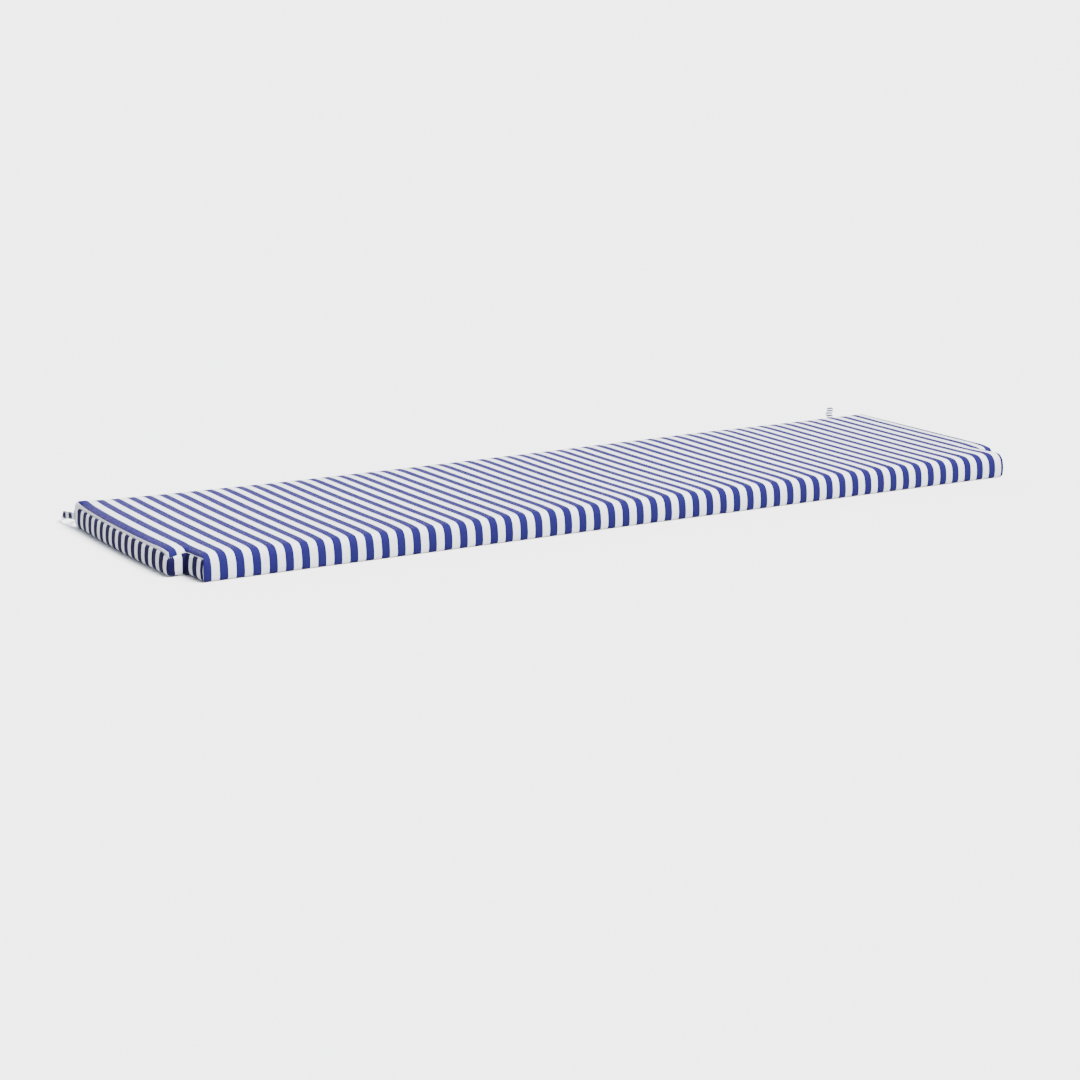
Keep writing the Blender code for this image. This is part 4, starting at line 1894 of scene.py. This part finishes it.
@dataclass
class Stitching:
    """Runs of even stitches.

    Attributes:
        material: The thread.
        pitch: Distance from one stitch to the next.
        length: Length of a stitch.
        thickness: Thickness of the thread.
        segments: Sides of a stitch.
        rings: Rings along a stitch.
        tree: The nodes that set stitches along lines.
    """

    material: bpy.types.Material
    pitch: float = 0.0030
    length: float = 0.0022
    thickness: float = 0.00042
    segments: int = 6
    rings: int = 4
    tree: bpy.types.GeometryNodeTree = field(init=False)

    def __post_init__(self) -> None:
        """Build the node tree that sets stitches along lines."""
        self.tree = bpy.data.node_groups.new("stitch_run", "GeometryNodeTree")
        sockets = (
            ("Lines", "INPUT", "NodeSocketGeometry"),
            ("Pitch", "INPUT", "NodeSocketFloat"),
            ("Stitch length", "INPUT", "NodeSocketFloat"),
            ("Thread thickness", "INPUT", "NodeSocketFloat"),
            ("Thread", "INPUT", "NodeSocketMaterial"),
            ("Stitches", "OUTPUT", "NodeSocketGeometry"),
        )
        for name, way, kind in sockets:
            self.tree.interface.new_socket(name, in_out=way, socket_type=kind)
        wiring = Wiring(self.tree)
        start = wiring.add("NodeGroupInput").outputs
        curve = wiring.add("GeometryNodeMeshToCurve", {"Mesh": start["Lines"]})
        spaced = {"Curve": curve.outputs["Curve"], "Length": start["Pitch"]}
        even = wiring.add("GeometryNodeResampleCurve", spaced, mode="LENGTH")
        round_bead = {"Segments": self.segments, "Rings": self.rings, "Radius": 0.5}
        bead = wiring.add("GeometryNodeMeshUVSphere", round_bead)
        thickness = start["Thread thickness"]
        lengths = {"X": start["Stitch length"], "Y": thickness, "Z": thickness}
        size = wiring.add("ShaderNodeCombineXYZ", lengths)
        tangent = wiring.add("GeometryNodeInputTangent").outputs["Tangent"]
        aim = wiring.add("FunctionNodeAlignRotationToVector", {"Vector": tangent}, axis="X")
        each = wiring.add("GeometryNodeInstanceOnPoints", {
            "Points": even.outputs["Curve"],
            "Instance": bead.outputs["Mesh"],
            "Rotation": aim.outputs["Rotation"],
            "Scale": size.outputs["Vector"],
        })
        real = wiring.add("GeometryNodeRealizeInstances", {"Geometry": each.outputs["Instances"]})
        smooth = wiring.add("GeometryNodeSetShadeSmooth", {"Geometry": real.outputs["Geometry"]})
        dyed = {"Geometry": smooth.outputs["Geometry"], "Material": start["Thread"]}
        finish = wiring.add("GeometryNodeSetMaterial", dyed)
        wiring.add("NodeGroupOutput", {"Stitches": finish.outputs["Geometry"]})

    def along(self, name: str, lines: list[list[Vector]], slot: str = "tie_canvas") -> bpy.types.Object:
        """Sew stitches along lines.

        Args:
            name: Name of the new piece.
            lines: Places along each line.
            slot: Material slot of the record.

        Returns:
            All stitches as one piece.
        """
        points, edges = [], []
        for line in lines:
            first = len(points)
            points += line
            edges += [(first + k, first + k + 1) for k in range(len(line) - 1)]
        guide = linked(name + "_lines", raw_mesh(name + "_lines", points, edges, []))
        modifier = guide.modifiers.new("stitches", "NODES")
        modifier.node_group = self.tree
        values = {
            "Pitch": self.pitch,
            "Stitch length": self.length,
            "Thread thickness": self.thickness,
            "Thread": self.material,
        }
        for item in self.tree.interface.items_tree:
            if item.item_type == "SOCKET" and item.in_out == "INPUT" and item.name in values:
                modifier[item.identifier] = values[item.name]
        mesh = finished_mesh(guide)
        mesh.name = name
        bpy.data.objects.remove(guide, do_unlink=True)
        piece = linked(name, mesh)
        dress(piece, slot)
        return piece


# ---------------------------------------------------------------------------------------------
# Studio
# ---------------------------------------------------------------------------------------------

@dataclass(frozen=True)
class Lamp:
    """A broad, far light.

    Attributes:
        name: What it does.
        angles: Compass angle and height, in degrees.
        power: Strength.
        softness: Angle that it covers, in degrees.
        tint: Linear colour.
    """

    name: str
    angles: tuple[float, float]
    power: float
    softness: float
    tint: Colour

    def build(self) -> None:
        """Hang the light."""
        azimuth, height = map(math.radians, self.angles)
        data = bpy.data.lights.new(self.name, "SUN")
        data.energy = self.power
        data.angle = math.radians(self.softness)
        data.color = self.tint
        lamp = linked(self.name, data)
        level = math.cos(height)
        toward = Vector((math.sin(azimuth) * level, -math.cos(azimuth) * level, math.sin(height)))
        lamp.rotation_mode = "QUATERNION"
        lamp.rotation_quaternion = toward.to_track_quat("Z", "Y")


@dataclass(frozen=True)
class Studio:
    """Pale floor, soft light and the camera.

    Attributes:
        camera_place: Where the camera stands.
        camera_aim: The point of the ground that it looks at.
        lens: Focal length in millimetres.
        sensor: Width of the picture in the camera, in millimetres.
        farthest: Distance up to which the camera sees.
        roll: How far its right hand tips up, in degrees.
        floor_size: Width of the floor.
        floor_seen: Brightness of the floor as the camera sees it.
        floor_bounce: Brightness with which it lights the cushion, low so that the ends stay in shade.
        world_light: Strength of the light from all round.
        world_tint: Its linear colour.
        key: The main light, from the front and above.
        rim: A cool light from behind, low enough to pale the top as the camera sees it.
    """

    camera_place: tuple[float, float, float] = (-2.12131, -3.58290, 0.88784)
    camera_aim: tuple[float, float, float] = (-0.17820, -0.22434, 0.0)
    lens: float = 88.441
    sensor: float = 36.0
    farthest: float = 2000.0
    roll: float = -0.2223
    floor_size: float = 600.0
    floor_seen: float = 0.97
    floor_bounce: float = 0.55
    world_light: float = 0.60
    world_tint: Colour = (0.80, 0.89, 1.0)
    key: Lamp = Lamp("key", angles=(38.0, 61.0), power=14.0, softness=30.0, tint=(1.0, 0.985, 0.96))
    rim: Lamp = Lamp("rim", angles=(174.0, 22.0), power=3.0, softness=40.0, tint=(0.72, 0.82, 1.0))

    def build_camera(self) -> None:
        """Set up the camera."""
        data = bpy.data.cameras.new("camera")
        data.lens = self.lens
        data.sensor_width = self.sensor
        data.clip_end = self.farthest
        camera = linked("camera", data)
        place = Vector(self.camera_place)
        ahead = (Vector(self.camera_aim) - place).normalized()
        level = ahead.cross(Vector((0, 0, 1))).normalized()
        up = level.cross(ahead)
        tip = math.asin(math.sin(math.radians(self.roll)) / up.z)
        right = level * math.cos(tip) + up * math.sin(tip)
        up = right.cross(ahead)
        turned = Matrix((right, up, -ahead)).transposed().to_4x4()
        camera.matrix_world = Matrix.Translation(place) @ turned
        bpy.context.scene.camera = camera

    def build_floor(self) -> None:
        """Make the plain pale floor."""
        half = self.floor_size / 2
        corners = [(-half, -half, 0), (half, -half, 0), (half, half, 0), (-half, half, 0)]
        mesh = raw_mesh("floor", corners, [], [(0, 1, 2, 3)])
        material, wiring, shader = blank_material("floor_paper")
        seen = wiring.add("ShaderNodeLightPath").outputs["Is Camera Ray"]
        paper = wiring.mix(seen, (self.floor_bounce,) * 3, (self.floor_seen,) * 3)
        wiring.fill(shader, {"Base Color": paper, "Roughness": 1.0, "Specular IOR Level": 0.0})
        mesh.materials.append(material)
        floor = linked("floor", mesh)

    def build_lights(self) -> None:
        """Set up the light from all round and the two lamps."""
        world = bpy.data.worlds.new("studio")
        world.use_nodes = True
        glow = {"Color": self.world_tint, "Strength": self.world_light}
        Wiring(world.node_tree).fill(world.node_tree.nodes["Background"], glow)
        bpy.context.scene.world = world
        self.key.build()
        self.rim.build()


# ---------------------------------------------------------------------------------------------
# Everything in order
# ---------------------------------------------------------------------------------------------

def main() -> None:
    """Build the studio, the ties, the cover and the panels."""
    logging.basicConfig(level=logging.INFO, format="%(name)s %(message)s")
    studio = Studio()
    studio.build_camera()
    groups = {tree.name: tree for tree in (stripe_group(), weave_group(), wear_group())}
    form = CushionForm()
    # The ties' darker blue is painted shade.
    tie_finish = CanvasFinish("tie_canvas_finish", blue=PAINTED_SHADE_BLUE, first=Tie.first_stripe,
                              blue_share=PANEL_AND_TIE_BLUE_SHARE, sheen=0.12)
    tie_canvas = tie_finish.build(groups)
    tie_thread = ThreadFinish("tie_thread", colour=(0.62, 0.63, 0.70)).build()
    stitching = Stitching(tie_thread, thickness=Tie.thread_thickness)
    for route in TieRoute:
        Tie(form, route).build(tie_canvas, stitching)

    skin = Skin(form)
    seams = [EndSeam(skin, side) for side in Side]
    cover_canvas = CanvasFinish("cover_canvas_finish").build(groups)
    Cover(skin, seams).build(cover_canvas)
    seam_thread = Stitching(tie_thread, pitch=0.0032, length=0.0019, thickness=0.00035)
    for seam in seams:
        panel = EndPanel(seam)
        # The panels' darker blue is painted shade.
        finish = CanvasFinish(f"panel_canvas_{seam.side.word}", blue=PAINTED_SHADE_BLUE, first=panel.rear_stripe,
                              blue_share=PANEL_AND_TIE_BLUE_SHARE, sheen=0.08)
        panel.build(finish.build(groups))
        seam_thread.along(f"seam_thread_{seam.side.word}", seam.thread_lines(), "panel_canvas")

    studio.build_floor()
    studio.build_lights()


if __name__ == "__main__":
    main()
